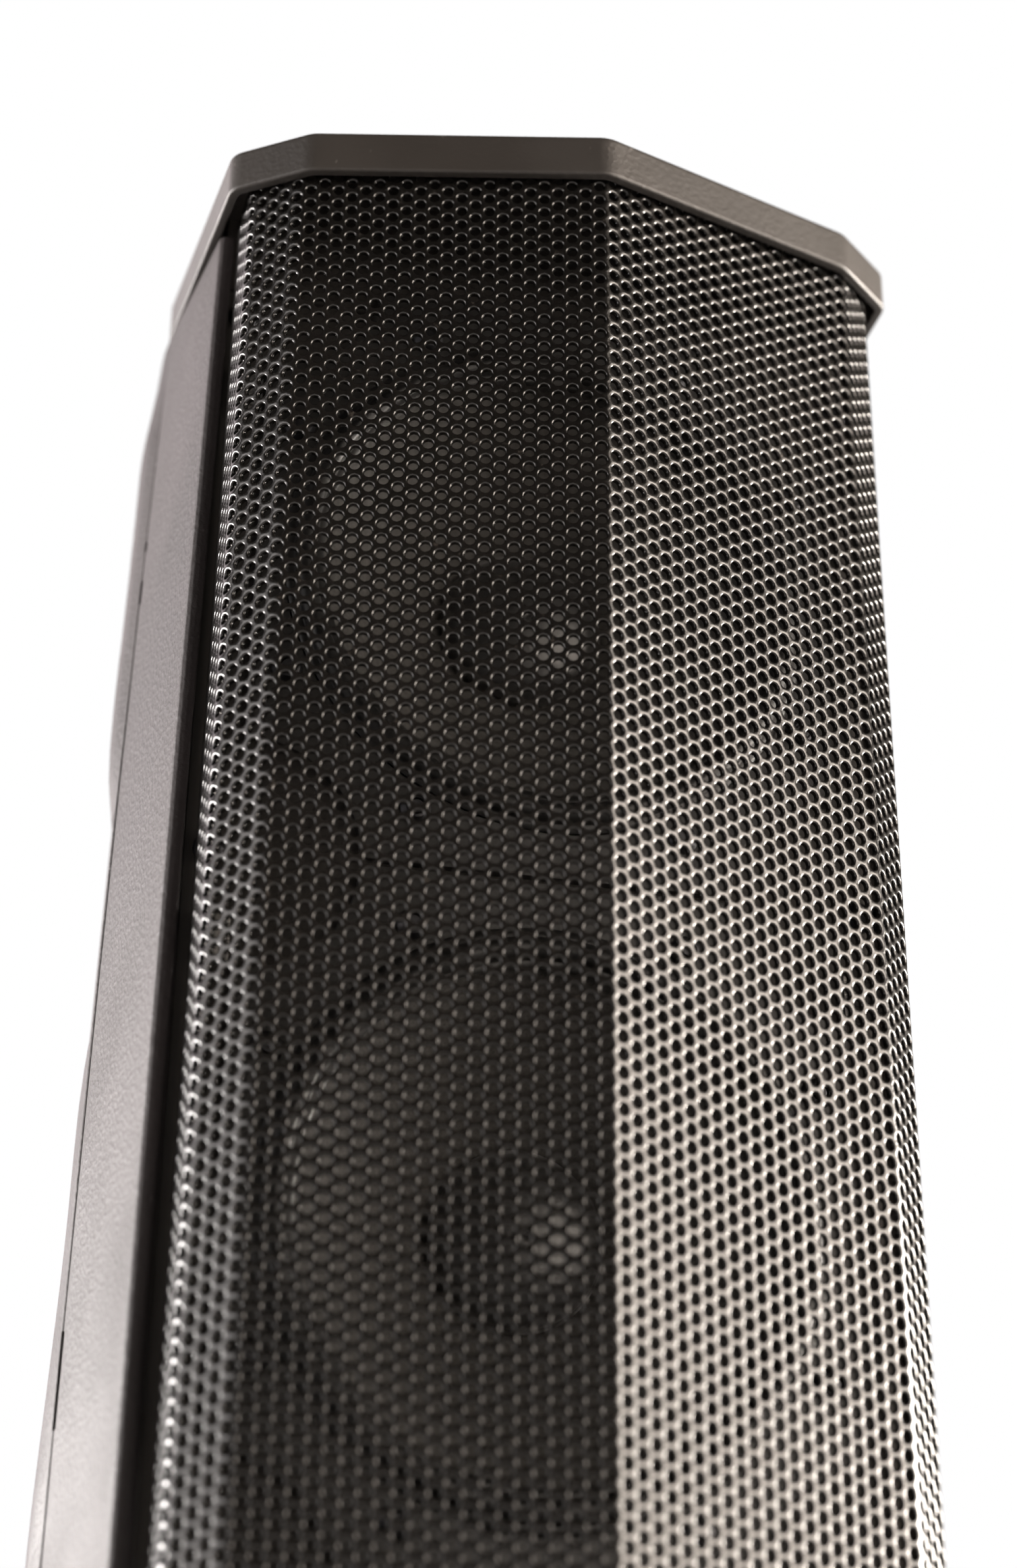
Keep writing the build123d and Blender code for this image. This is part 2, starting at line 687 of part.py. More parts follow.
def horn_screw_points():
    return [
        (sx * (HORN_FLANGE_W / 2 - 9), BODY_MID + dz)
        for sx in (-1, 1)
        for dz in (-HORN_FLANGE_H / 2 + 9, 0, HORN_FLANGE_H / 2 - 9)
    ]


def horn():
    """Tall waveguide with its flange, and three thin vanes across the mouth."""
    w, h = HORN_FLANGE_W / 2, HORN_FLANGE_H / 2
    flange = block(-w, w, BAFFLE_Y - FRAME_T, BAFFLE_Y - 0.05, BODY_MID - h, BODY_MID + h)
    flange = fillet(flange.edges().filter_by(Axis.Y), 8)
    body = flange + horn_form(3.0)
    body += rod_y(20.0, CAN_Y - 6, CAN_Y, 0, BODY_MID)
    hollow = horn_form(0)
    body -= hollow
    body -= rod_y(THROAT_R, CAN_Y - 8, CAN_Y + 1, 0, BODY_MID)
    for k in (-1, 0, 1):
        z = BODY_MID + 36 * k
        vane = block(-70, 70, BAFFLE_Y + 4, BAFFLE_Y + 24, z - 1, z + 1)
        body += vane & horn_form(0.5)
    for x, z in horn_screw_points():
        body -= rod_y(SCREW_HOLE_R, BAFFLE_Y - 5, BAFFLE_Y + 1, x, z)
    return body


def compression_driver():
    """Closed can with the throat bore, and a seat for the diaphragm inside."""
    can = turned(
        (THROAT_R, CAN_Y + 0.1), (34.0, CAN_Y + 0.1), (CAN_R, CAN_Y + 8), (CAN_R, CAN_Y + 40),
        (CAN_R - 5, CAN_Y + CAN_LENGTH), (0, CAN_Y + CAN_LENGTH), (0, CAN_Y + 42),
        (30.0, CAN_Y + 42), (30.0, CAN_Y + SEAT_D), (26.0, CAN_Y + SEAT_D),
        (26.0, CAN_Y + 20), (THROAT_R, CAN_Y + 20),
    )
    return Pos(0, 0, BODY_MID) * can


def hf_diaphragm():
    """Thin dome, bulging backwards, with its short coil former and its own formed surround."""
    rise = 7.0
    outer, inner = [], []
    steps = 8
    for i in range(steps + 1):
        r = DOME_R * i / steps
        y = CAN_Y + SEAT_D + rise * (1 - (r / DOME_R) ** 2)
        outer.append((r, y + 0.5))
        inner.append((r, y))
    dome = turned(*inner, *reversed(outer))
    former = turned(
        (DOME_R - 0.4, CAN_Y + SEAT_D - 3), (DOME_R, CAN_Y + SEAT_D - 3),
        (DOME_R, CAN_Y + SEAT_D + 0.4), (DOME_R - 0.4, CAN_Y + SEAT_D + 0.4),
    )
    rim = turned(
        (DOME_R - 0.2, CAN_Y + SEAT_D), (22.5, CAN_Y + SEAT_D - 1.0), (25.4, CAN_Y + SEAT_D - 1.0),
        (25.4, CAN_Y + SEAT_D - 0.5), (22.7, CAN_Y + SEAT_D - 0.5), (DOME_R - 0.2, CAN_Y + SEAT_D + 0.5),
    )
    return Pos(0, 0, BODY_MID) * (dome + former + rim)


# ---- screws -------------------------------------------------------------------------------------
def frame_screw_points():
    return [(x, z0 + z) for z0 in WOOFER_Z for x, z in ring_of_screws()]


def front_screw_points():
    """Every place where a screw passes through the baffle."""
    return frame_screw_points() + horn_screw_points() + post_positions()


def pan_screw(seat, reach):
    """Pan head screw along Y with its head's underside at seat, reaching back by reach."""
    return turned(
        (0, seat - 2.6), (1.6, seat - 2.6), (1.6, seat - 1.2), (2.2, seat - 2.6),
        (SCREW_HEAD_R - 1, seat - 2.4), (SCREW_HEAD_R, seat - 0.9), (SCREW_HEAD_R, seat - 0.02),
        (SCREW_R, seat - 0.02), (SCREW_R, seat + reach), (0, seat + reach),
    )


def front_screws():
    """Screws for the woofer frames, the horn and the baffle."""
    screws = []
    for x, z in frame_screw_points() + horn_screw_points():
        screws.append(Pos(x, 0, z) * pan_screw(BAFFLE_Y - FRAME_T, 12.0))
    for x, z in post_positions():
        screws.append(Pos(x, 0, z) * pan_screw(BAFFLE_Y, 16.0))
    return group(screws)


def case_screws():
    """Long screws that pull the shells together, and short ones that hold the caps."""
    screws = []
    for x, z in post_positions():
        screws.append(Pos(x, 0, z) * Rot(0, 0, 180) * pan_screw(-38.0, 72.0))
    for x, z in cap_screw_points():
        screws.append(Pos(x, 0, z) * Rot(0, 0, 180) * pan_screw(-REAR_Y, 17.0))
    return group(screws)


def panel_screw_points():
    xs = PANEL_W / 2 - 5
    return [
        (sx * xs, PANEL_Z + dz)
        for sx in (-1, 1)
        for dz in (-PANEL_H / 2 + 6, -52, 52, PANEL_H / 2 - 6)
    ]


def panel_screws():
    screws = []
    for x, z in panel_screw_points():
        screw = turned(
            (0, -9), (1.5, -9), (1.5, 0.02), (2.9, 0.02), (2.9, 1.2), (2.2, 2.0),
            (0.9, 2.0), (0.9, 0.9), (0, 0.9),
        )
        screws.append(Pos(x, REAR_Y, z) * screw)
    return group(screws)


def fly_inserts():
    """Threaded steel inserts: M10 in the top cap, M8 in the back."""
    parts = []
    for side in (-1, 1):
        x = side * FLY_SPACING / 2
        insert = rod_z(8.0, BODY_TOP - 21.5, BODY_TOP - 0.2, x, FLY_Y)
        parts.append(insert - rod_z(M10_R, BODY_TOP - 22, BODY_TOP, x, FLY_Y))
    for x, z in bracket_points():
        insert = rod_y(6.5, REAR_Y - 18.5, REAR_Y - 0.2, x, z)
        parts.append(insert - rod_y(M8_R, REAR_Y - 19, REAR_Y, x, z))
    return group(parts)


# ---- amplifier module ---------------------------------------------------------------------------
PANEL_BACK = REAR_Y                 # the panel's outer face
PANEL_IN = REAR_Y - PANEL_T + 0.05  # its inner face, just off the shell's rebate
BUTTON_R = 5.0
KNOB_R = 11.0
ROCKER_TILT = 9.0
JACK_W, JACK_H = 26.0, 31.0


def amp_panel():
    """Aluminium back plate with its cut-outs and four pressed-in board spacers."""
    half_w, half_h = PANEL_W / 2, PANEL_H / 2
    plate = block(
        -half_w, half_w, PANEL_IN, PANEL_BACK, PANEL_Z - half_h, PANEL_Z + half_h
    )
    plate = fillet(plate.edges().filter_by(Axis.Y), 3)
    plate -= block(
        -PANEL_WINDOW_W / 2, PANEL_WINDOW_W / 2, PANEL_IN - 1, PANEL_BACK + 1,
        SINK_Z - PANEL_WINDOW_H / 2, SINK_Z + PANEL_WINDOW_H / 2,
    )
    plate -= rod_y(4.2, PANEL_IN - 1, PANEL_BACK + 1, KNOB_X, KNOB_Z)
    plate -= rod_y(BUTTON_R + 0.3, PANEL_IN - 1, PANEL_BACK + 1, 0, KNOB_Z)
    for k in range(3):
        plate -= rod_y(1.75, PANEL_IN - 1, PANEL_BACK + 1, LED_X + 8 * (k - 1), KNOB_Z)
    for side in (-1, 1):
        plate -= rod_y(11.7, PANEL_IN - 1, PANEL_BACK + 1, side * JACK_X, JACK_Z)
    plate -= block(
        -JACK_X - 3.4, -JACK_X + 3.4, PANEL_IN - 1, PANEL_BACK + 1, JACK_Z + 8, JACK_Z + 14.2
    )
    plate -= block(
        INLET_X - 14, INLET_X + 14, PANEL_IN - 1, PANEL_BACK + 1, MAINS_Z - 10.5, MAINS_Z + 10.5
    )
    plate -= block(
        SWITCH_X - 11, SWITCH_X + 11, PANEL_IN - 1, PANEL_BACK + 1, MAINS_Z - 15, MAINS_Z + 15
    )
    for x, z in panel_screw_points():
        plate -= rod_y(1.6, PANEL_IN - 1, PANEL_BACK + 1, x, z)
    for x, z in board_points():
        plate += rod_y(3.0, PANEL_IN - 30, PANEL_IN + 1, x, z)
    return plate


def board_points():
    return [(sx * 46.0, z) for sx in (-1, 1) for z in (PANEL_Z - 138, PANEL_Z + 24)]


def heat_sink():
    """Extruded sink: a base behind the panel's window and a comb of upright fins."""
    base_w, base_h = PANEL_WINDOW_W + 8, PANEL_WINDOW_H + 8
    low, high = SINK_Z - base_h / 2, SINK_Z + base_h / 2
    sink = block(-base_w / 2, base_w / 2, PANEL_IN - 6.1, PANEL_IN - 0.1, low, high)
    fins = 11
    pitch = (PANEL_WINDOW_W - 6) / (fins - 1)
    fin_half = PANEL_WINDOW_H / 2 - 1.5
    for k in range(fins):
        x = -PANEL_WINDOW_W / 2 + 3 + pitch * k
        sink += block(x - 1.1, x + 1.1, PANEL_IN - 1, FIN_TIP_Y, SINK_Z - fin_half, SINK_Z + fin_half)
    return sink


def circuit_board():
    """Main board with its taller components soldered on."""
    y = PANEL_IN - 31.7
    board = block(-52, 52, y, y + 1.6, PANEL_Z - 146, PANEL_Z + 32)
    for x, z in board_points():
        board -= rod_y(1.6, y - 1, y + 2, x, z)
    for k in range(4):
        board += rod_y(9.0, y - 26, y + 0.5, -30 + 20 * k, PANEL_Z - 20)
    for k in range(3):
        board += rod_y(5.0, y - 14, y + 0.5, -34 + 14 * k, PANEL_Z - 60)
    board += block(14, 44, y - 16, y + 0.5, PANEL_Z - 76, PANEL_Z - 46)
    board += block(-40, -8, y - 10, y + 0.5, PANEL_Z - 118, PANEL_Z - 90)
    board += block(4, 24, y - 8, y + 0.5, PANEL_Z - 112, PANEL_Z - 92)
    board += block(-46, 46, y - 22, y + 0.5, PANEL_Z + 12, PANEL_Z + 18)
    return board


def power_supply():
    """Ring transformer bolted to the heat sink's base, with its centre bolt."""
    y = PANEL_IN - 6.2
    ring = turned((12, y - 34), (38, y - 34), (42, y - 30), (42, y - 4), (38, y), (12, y))
    dish = turned((0, y - 37), (30, y - 37), (33, y - 34.0), (12, y - 34.0), (12, y), (0, y))
    return Pos(0, 0, SINK_Z) * (ring + dish)


def mains_inlet():
    """Inlet socket: flange outside the panel, body inside, three blades in the well."""
    body = block(INLET_X - 13.6, INLET_X + 13.6, PANEL_BACK - 20, PANEL_BACK + 0.5,
                 MAINS_Z - 10.1, MAINS_Z + 10.1)
    flange = block(INLET_X - 17, INLET_X + 17, PANEL_BACK + 0.05, PANEL_BACK + 2.6,
                   MAINS_Z - 15, MAINS_Z + 15)
    flange = fillet(flange.edges().filter_by(Axis.Y), 4)
    body += flange
    body -= block(INLET_X - 12, INLET_X + 12, PANEL_BACK - 16, PANEL_BACK + 4,
                  MAINS_Z - 8.2, MAINS_Z + 8.2)
    for dx, dz in ((-7, -1.5), (7, -1.5), (0, 2.5)):
        body += block(INLET_X + dx - 1, INLET_X + dx + 1, PANEL_BACK - 17, PANEL_BACK - 4,
                      MAINS_Z + dz - 2, MAINS_Z + dz + 2)
    return body


def switch_frame():
    """Snap-in housing of the power switch."""
    w, h = 10.8, 14.8
    frame = block(SWITCH_X - w, SWITCH_X + w, PANEL_BACK - 20, PANEL_BACK + 0.5,
                  MAINS_Z - h, MAINS_Z + h)
    lip = block(SWITCH_X - 12.5, SWITCH_X + 12.5, PANEL_BACK + 0.05, PANEL_BACK + 2.0,
                MAINS_Z - 16.5, MAINS_Z + 16.5)
    frame += fillet(lip.edges().filter_by(Axis.Y), 2)
    frame -= block(SWITCH_X - 8.6, SWITCH_X + 8.6, PANEL_BACK - 15, PANEL_BACK + 4,
                   MAINS_Z - 12.8, MAINS_Z + 12.8)
    for side in (-1, 1):
        x = SWITCH_X + side * 9.0
        frame -= rod_x(1.55, x - 1.3, x + 1.3, PANEL_BACK - 3, MAINS_Z)
    return frame


def power_rocker():
    """Rocker with a shallow V face, tilting on two short pins."""
    y = PANEL_BACK
    outline = [
        (y - 6, -7.0), (y + 1.2, -12.0), (y + 4.2, -11.4), (y + 2.4, 0),
        (y + 4.2, 11.4), (y + 1.2, 12.0), (y - 6, 7.0),
    ]
    section = [(point_y, point_z + MAINS_Z) for point_y, point_z in outline]
    side = Plane.YZ * Polygon(*section, align=None)
    key = Pos(SWITCH_X - 8.3, 0, 0) * extrude(side, 16.6)
    key += rod_x(1.5, SWITCH_X - 9.9, SWITCH_X + 9.9, y - 3, MAINS_Z)
    pivot = Pos(SWITCH_X, y - 3, MAINS_Z)
    return pivot * Rot(-ROCKER_TILT, 0, 0) * Pos(-SWITCH_X, 3 - y, -MAINS_Z) * key


def level_knob():
    """Fluted knob with a pointer ridge, on its control's shaft."""
    y = PANEL_BACK + 1.0
    body = turned((0, y), (KNOB_R, y), (KNOB_R, y + 2), (KNOB_R - 1.4, y + 12), (0, y + 12))
    for k in range(24):
        groove = Rot(0, 15 * k, 0) * Pos(KNOB_R + 0.3, y + 7, 0) * Rot(90, 0, 0) * Cylinder(0.8, 9)
        body -= groove
    body += block(-0.7, 0.7, y + 11, y + 12.8, 1.5, KNOB_R - 2.2)
    body += rod_y(3.0, PANEL_BACK - 16, y + 1)
    return Pos(KNOB_X, 0, KNOB_Z) * body


def level_control():
    """The potentiometer the knob's shaft turns in, fixed behind the panel."""
    can = rod_y(8.5, PANEL_IN - 16, PANEL_IN - 6, KNOB_X, KNOB_Z)
    bush = rod_y(4.1, PANEL_IN - 8, PANEL_BACK + 0.5, KNOB_X, KNOB_Z)
    return (can + bush) - rod_y(3.05, PANEL_BACK - 16.5, PANEL_BACK + 1, KNOB_X, KNOB_Z)


def mode_button():
    """Round push button that travels into the panel."""
    y = PANEL_BACK
    cap_part = rod_y(BUTTON_R, y - 6, y + 3.2, 0, KNOB_Z)
    cap_part = fillet(cap_part.edges().sort_by(Axis.Y)[-1], 0.8)
    return cap_part + rod_y(6.5, y - 7.5, y - 5.5, 0, KNOB_Z)


def status_leds():
    lamps = []
    for k in range(3):
        x = LED_X + 8 * (k - 1)
        lamp = rod_y(1.7, PANEL_IN - 2, PANEL_BACK + 0.2, x, KNOB_Z)
        dome = Pos(x, PANEL_BACK + 0.2, KNOB_Z) * Sphere(1.7)
        lamps.append(lamp + dome + rod_y(2.4, PANEL_IN - 3, PANEL_IN - 0.3, x, KNOB_Z))
    return group(lamps)


def jack_plate(x):
    plate = block(x - JACK_W / 2, x + JACK_W / 2, PANEL_BACK + 0.05, PANEL_BACK + 2.0,
                  JACK_Z - JACK_H / 2, JACK_Z + JACK_H / 2)
    plate = fillet(plate.edges().filter_by(Axis.Y), 3)
    return plate + rod_y(11.5, PANEL_BACK - 22, PANEL_BACK + 1, x, JACK_Z)


def input_jack():
    """Female input connector: three sleeves in a core, and a slot for the release tab."""
    x = -JACK_X
    body = jack_plate(x)
    body -= rod_y(9.4, PANEL_BACK - 5, PANEL_BACK + 3, x, JACK_Z)
    body += rod_y(7.4, PANEL_BACK - 6, PANEL_BACK + 1.4, x, JACK_Z)
    for angle in (210, 330, 90):
        dx, dz = 4.2 * cos(radians(angle)), 4.2 * sin(radians(angle))
        body -= rod_y(1.5, PANEL_BACK - 18, PANEL_BACK + 3, x + dx, JACK_Z + dz)
    body -= block(x - 3.2, x + 3.2, PANEL_BACK - 5, PANEL_BACK + 3, JACK_Z + 9, JACK_Z + 14.2)
    return body


def input_latch():
    """Release tab beside the input connector."""
    x = -JACK_X
    tab = block(x - 3.0, x + 3.0, PANEL_BACK - 2.5, PANEL_BACK + 3.4, JACK_Z + 9.7, JACK_Z + 13.8)
    return fillet(tab.edges().filter_by(Axis.X).sort_by(Axis.Y)[-2:], 1.0)


def link_jack():
    """Male link connector: a round well with three pins."""
    x = JACK_X
    body = jack_plate(x) - rod_y(9.6, PANEL_BACK - 14, PANEL_BACK + 3, x, JACK_Z)
    for angle in (30, 150, 270):
        dx, dz = 4.2 * cos(radians(angle)), 4.2 * sin(radians(angle))
        body += rod_y(1.2, PANEL_BACK - 15, PANEL_BACK - 2, x + dx, JACK_Z + dz)
    return body


# ---- inside -------------------------------------------------------------------------------------
def wadding():
    """Polyester damping pads behind the upper woofers and beside the horn."""
    pads = [
        block(-60, 60, 34, 62, BODY_MID + 60, WOOFER_Z[1] + 70),
        block(-60, 60, 34, 62, WOOFER_Z[1] + 76, SHELL_TOP - 30),
    ]
    return group([fillet(p.edges(), 6) for p in pads])


def wiring():
    """Cable loom up one side, with a short lead and plug to each woofer."""
    x, y = 68.0, 24.0
    loom = rod_z(2.6, LOWER_Z[1] - 20, UPPER_Z[0] + 2.6, x, y)
    for z in WOOFER_Z:
        loom += rod_y(1.8, depth(PLATE_D - 3), y, x, z)
        loom += block(62.5, 70, depth(PLATE_D - 6), depth(PLATE_D - 0.5), z - 6, z + 6)
    return loom


# ---- write every node ---------------------------------------------------------------------------
def nodes():
    grooves = gasket_groove()
    made = {
        "front_shell": front_shell() - grooves,
        "rear_shell": rear_shell(),
        "shell_gasket": shell_gasket(),
        "baffle_board": baffle_board(),
        "top_cap": top_cap(),
        "bottom_cap": bottom_cap(),
        "feet": feet(),
        "pole_thread": pole_thread(),
        "grille": grille(),
        "grille_clips": grille_clips(),
        "woofer_top_plates": group(at_woofers(motor_top_plate())),
        "woofer_magnets": group(at_woofers(motor_magnet())),
        "woofer_yokes": group(at_woofers(motor_yoke())),
        "horn": horn(),
        "compression_driver": compression_driver(),
        "hf_diaphragm": hf_diaphragm(),
        "front_screws": front_screws(),
        "case_screws": case_screws(),
        "panel_screws": panel_screws(),
        "fly_inserts": fly_inserts(),
        "amp_panel": amp_panel(),
        "heat_sink": heat_sink(),
        "circuit_board": circuit_board(),
        "power_supply": power_supply(),
        "mains_inlet": mains_inlet(),
        "switch_frame": switch_frame(),
        "power_rocker": power_rocker(),
        "level_knob": level_knob(),
        "level_control": level_control(),
        "mode_button": mode_button(),
        "status_leds": status_leds(),
        "input_jack": input_jack(),
        "input_latch": input_latch(),
        "link_jack": link_jack(),
        "wadding": wadding(),
        "wiring": wiring(),
    }
    moving = {
        "cone": cone(), "dust_cap": dust_cap(), "voice_coil": voice_coil(),
        "surround": surround(), "spider": spider(), "basket": basket(),
    }
    for name, shape in moving.items():
        for number, place in enumerate(at_woofers(shape), 1):
            made[f"{name}_{number}"] = place
    return made


os.makedirs("parts", exist_ok=True)
for node, shape in nodes().items():
    export_step(shape, f"parts/{node}.step")
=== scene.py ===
"""Looks for the column line array speaker: perforated grille, drivers, moulded shells, light and camera."""

import json
import math

import bpy
import numpy as np
from mathutils import Matrix, Vector

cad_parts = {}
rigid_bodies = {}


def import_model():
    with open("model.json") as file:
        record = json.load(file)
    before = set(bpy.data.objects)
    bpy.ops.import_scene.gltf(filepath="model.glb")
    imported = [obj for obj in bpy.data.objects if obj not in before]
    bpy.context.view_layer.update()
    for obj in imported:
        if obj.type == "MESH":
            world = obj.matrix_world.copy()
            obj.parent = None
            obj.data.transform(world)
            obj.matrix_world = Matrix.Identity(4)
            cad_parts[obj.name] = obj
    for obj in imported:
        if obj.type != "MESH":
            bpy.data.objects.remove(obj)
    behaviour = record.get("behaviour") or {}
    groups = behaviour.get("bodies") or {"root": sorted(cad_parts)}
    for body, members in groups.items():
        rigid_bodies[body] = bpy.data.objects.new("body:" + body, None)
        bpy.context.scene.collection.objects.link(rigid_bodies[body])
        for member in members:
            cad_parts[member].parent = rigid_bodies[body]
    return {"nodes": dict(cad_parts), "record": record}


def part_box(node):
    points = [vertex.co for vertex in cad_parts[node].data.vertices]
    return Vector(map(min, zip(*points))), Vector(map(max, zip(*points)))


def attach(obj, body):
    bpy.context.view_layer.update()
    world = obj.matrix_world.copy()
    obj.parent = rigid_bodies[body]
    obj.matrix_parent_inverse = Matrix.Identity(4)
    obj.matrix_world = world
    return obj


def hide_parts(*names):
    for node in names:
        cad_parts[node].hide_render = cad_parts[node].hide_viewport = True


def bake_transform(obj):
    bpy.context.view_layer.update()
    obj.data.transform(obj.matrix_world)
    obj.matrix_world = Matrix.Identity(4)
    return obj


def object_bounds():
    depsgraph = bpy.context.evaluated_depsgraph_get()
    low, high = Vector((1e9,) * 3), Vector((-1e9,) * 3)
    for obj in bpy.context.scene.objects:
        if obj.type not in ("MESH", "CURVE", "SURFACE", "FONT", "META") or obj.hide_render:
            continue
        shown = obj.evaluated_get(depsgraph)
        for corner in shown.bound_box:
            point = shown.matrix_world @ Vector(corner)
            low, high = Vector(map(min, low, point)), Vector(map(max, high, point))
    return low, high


for left_over in list(bpy.data.objects):
    bpy.data.objects.remove(left_over)

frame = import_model()
NODES = frame["nodes"]
CAD_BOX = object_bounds()
MM = 0.001

# ---- grille ----------------------------------------------------------------------------------
PITCH = 4.0 * MM
COLUMN = PITCH * math.sqrt(3) / 2
COLUMN_SHIFT = 0.65          # where the first column falls beside the ridge, in columns
HOLE_R = 1.27 * MM
EDGE_R = 0.44 * MM           # rounding of a hole's front edge
SHEET_T = 1.5 * MM
SIDE_MARGIN = PITCH * 0.65   # least distance from a hole's centre to the sheet's side edges
END_MARGIN = 0.55            # the same for the top and bottom edges, in pitches
FOLD_R = 3.0 * MM            # outer radius of the sheet's folds
FOLD_STEPS = 16
BANDS = 12                   # pieces that the sheet is cut into, from the bottom up
CELL_U, CELL_Z = 6, 4        # whole units across one column of holes and up one row
UNIT_Z = PITCH / CELL_Z
TINY = 1e-6

# ---- woofers' soft parts ---------------------------------------------------------------------
WOOFERS = (1, 2, 3, 4)
SURROUND_FLANGE = 2.4 * MM   # flat outer border of the surround
SURROUND_LAP = 1.4 * MM      # how far its inner border lies on the cone
SURROUND_CREASE = 0.5 * MM   # flat beside the roll
SURROUND_T = 0.6 * MM
ROLL_START = 0.6 * MM        # the roll begins this far outside the cone
ROLL_CLEAR = 0.3 * MM        # room in front of the roll
CONE_T = 0.7 * MM
CONE_EDGE = 0.3 * MM         # depth of the cone's outer edge behind its front
CONE_CURVE = 0.88            # power of the cone's slightly curved side
CONE_RIBS = (0.30, 0.55)     # pressed rings, as shares of the way in to the coil
RIB_HEIGHT, RIB_SHARE = 0.35 * MM, 0.05
DOME_T = 0.45 * MM
DOME_BRIM = 0.9 * MM         # glued brim round the dust cap
SPIDER_T = 0.35 * MM
SPIDER_WAVES = 5.5
FLEECE_VOXEL = 3.5 * MM
FLEECE_DEPTH = 4.0 * MM      # how deep the wadding's tufts dip below its plain outline
FLEECE_TUFTS = ((70.0, 1.0), (160.0, 0.7), (390.0, 0.5), (800.0, 0.35))     # radians per metre, share

# ---- view and light --------------------------------------------------------------------------
EYE = Vector((-144.4, -432.0, -370.2)) * MM     # from the ridge line at the top of the cap
YAW, PITCH_UP, ROLL = math.radians(15.59), math.radians(22.98), math.radians(0.54)
LENS, SENSOR = 50.70, 36.0
FOCUS = 535 * MM
F_STOP = 5.0
FLOOR_HALF = 6.0
AMBIENT = (0.022, 0.020, 0.018)
LOBES = [
    # towards, inner and outer angle, colour, strength
    ((0.66, -0.74, 0.10), 5, 28, (1.0, 0.88, 0.77), 16.0),
    ((0.98, -0.04, -0.09), 8, 22, (1.0, 0.91, 0.82), 115.0),
    ((0.60, -0.70, -0.46), 8, 22, (1.0, 0.92, 0.83), 40.0),
    ((-0.95, -0.26, 0.06), 10, 32, (1.0, 0.94, 0.91), 4.2),
    ((-0.80, 0.54, -0.18), 12, 26, (1.0, 0.95, 0.92), 60.0),
    ((-0.45, 0.85, 0.25), 12, 50, (1.0, 0.88, 0.90), 1.6),
]


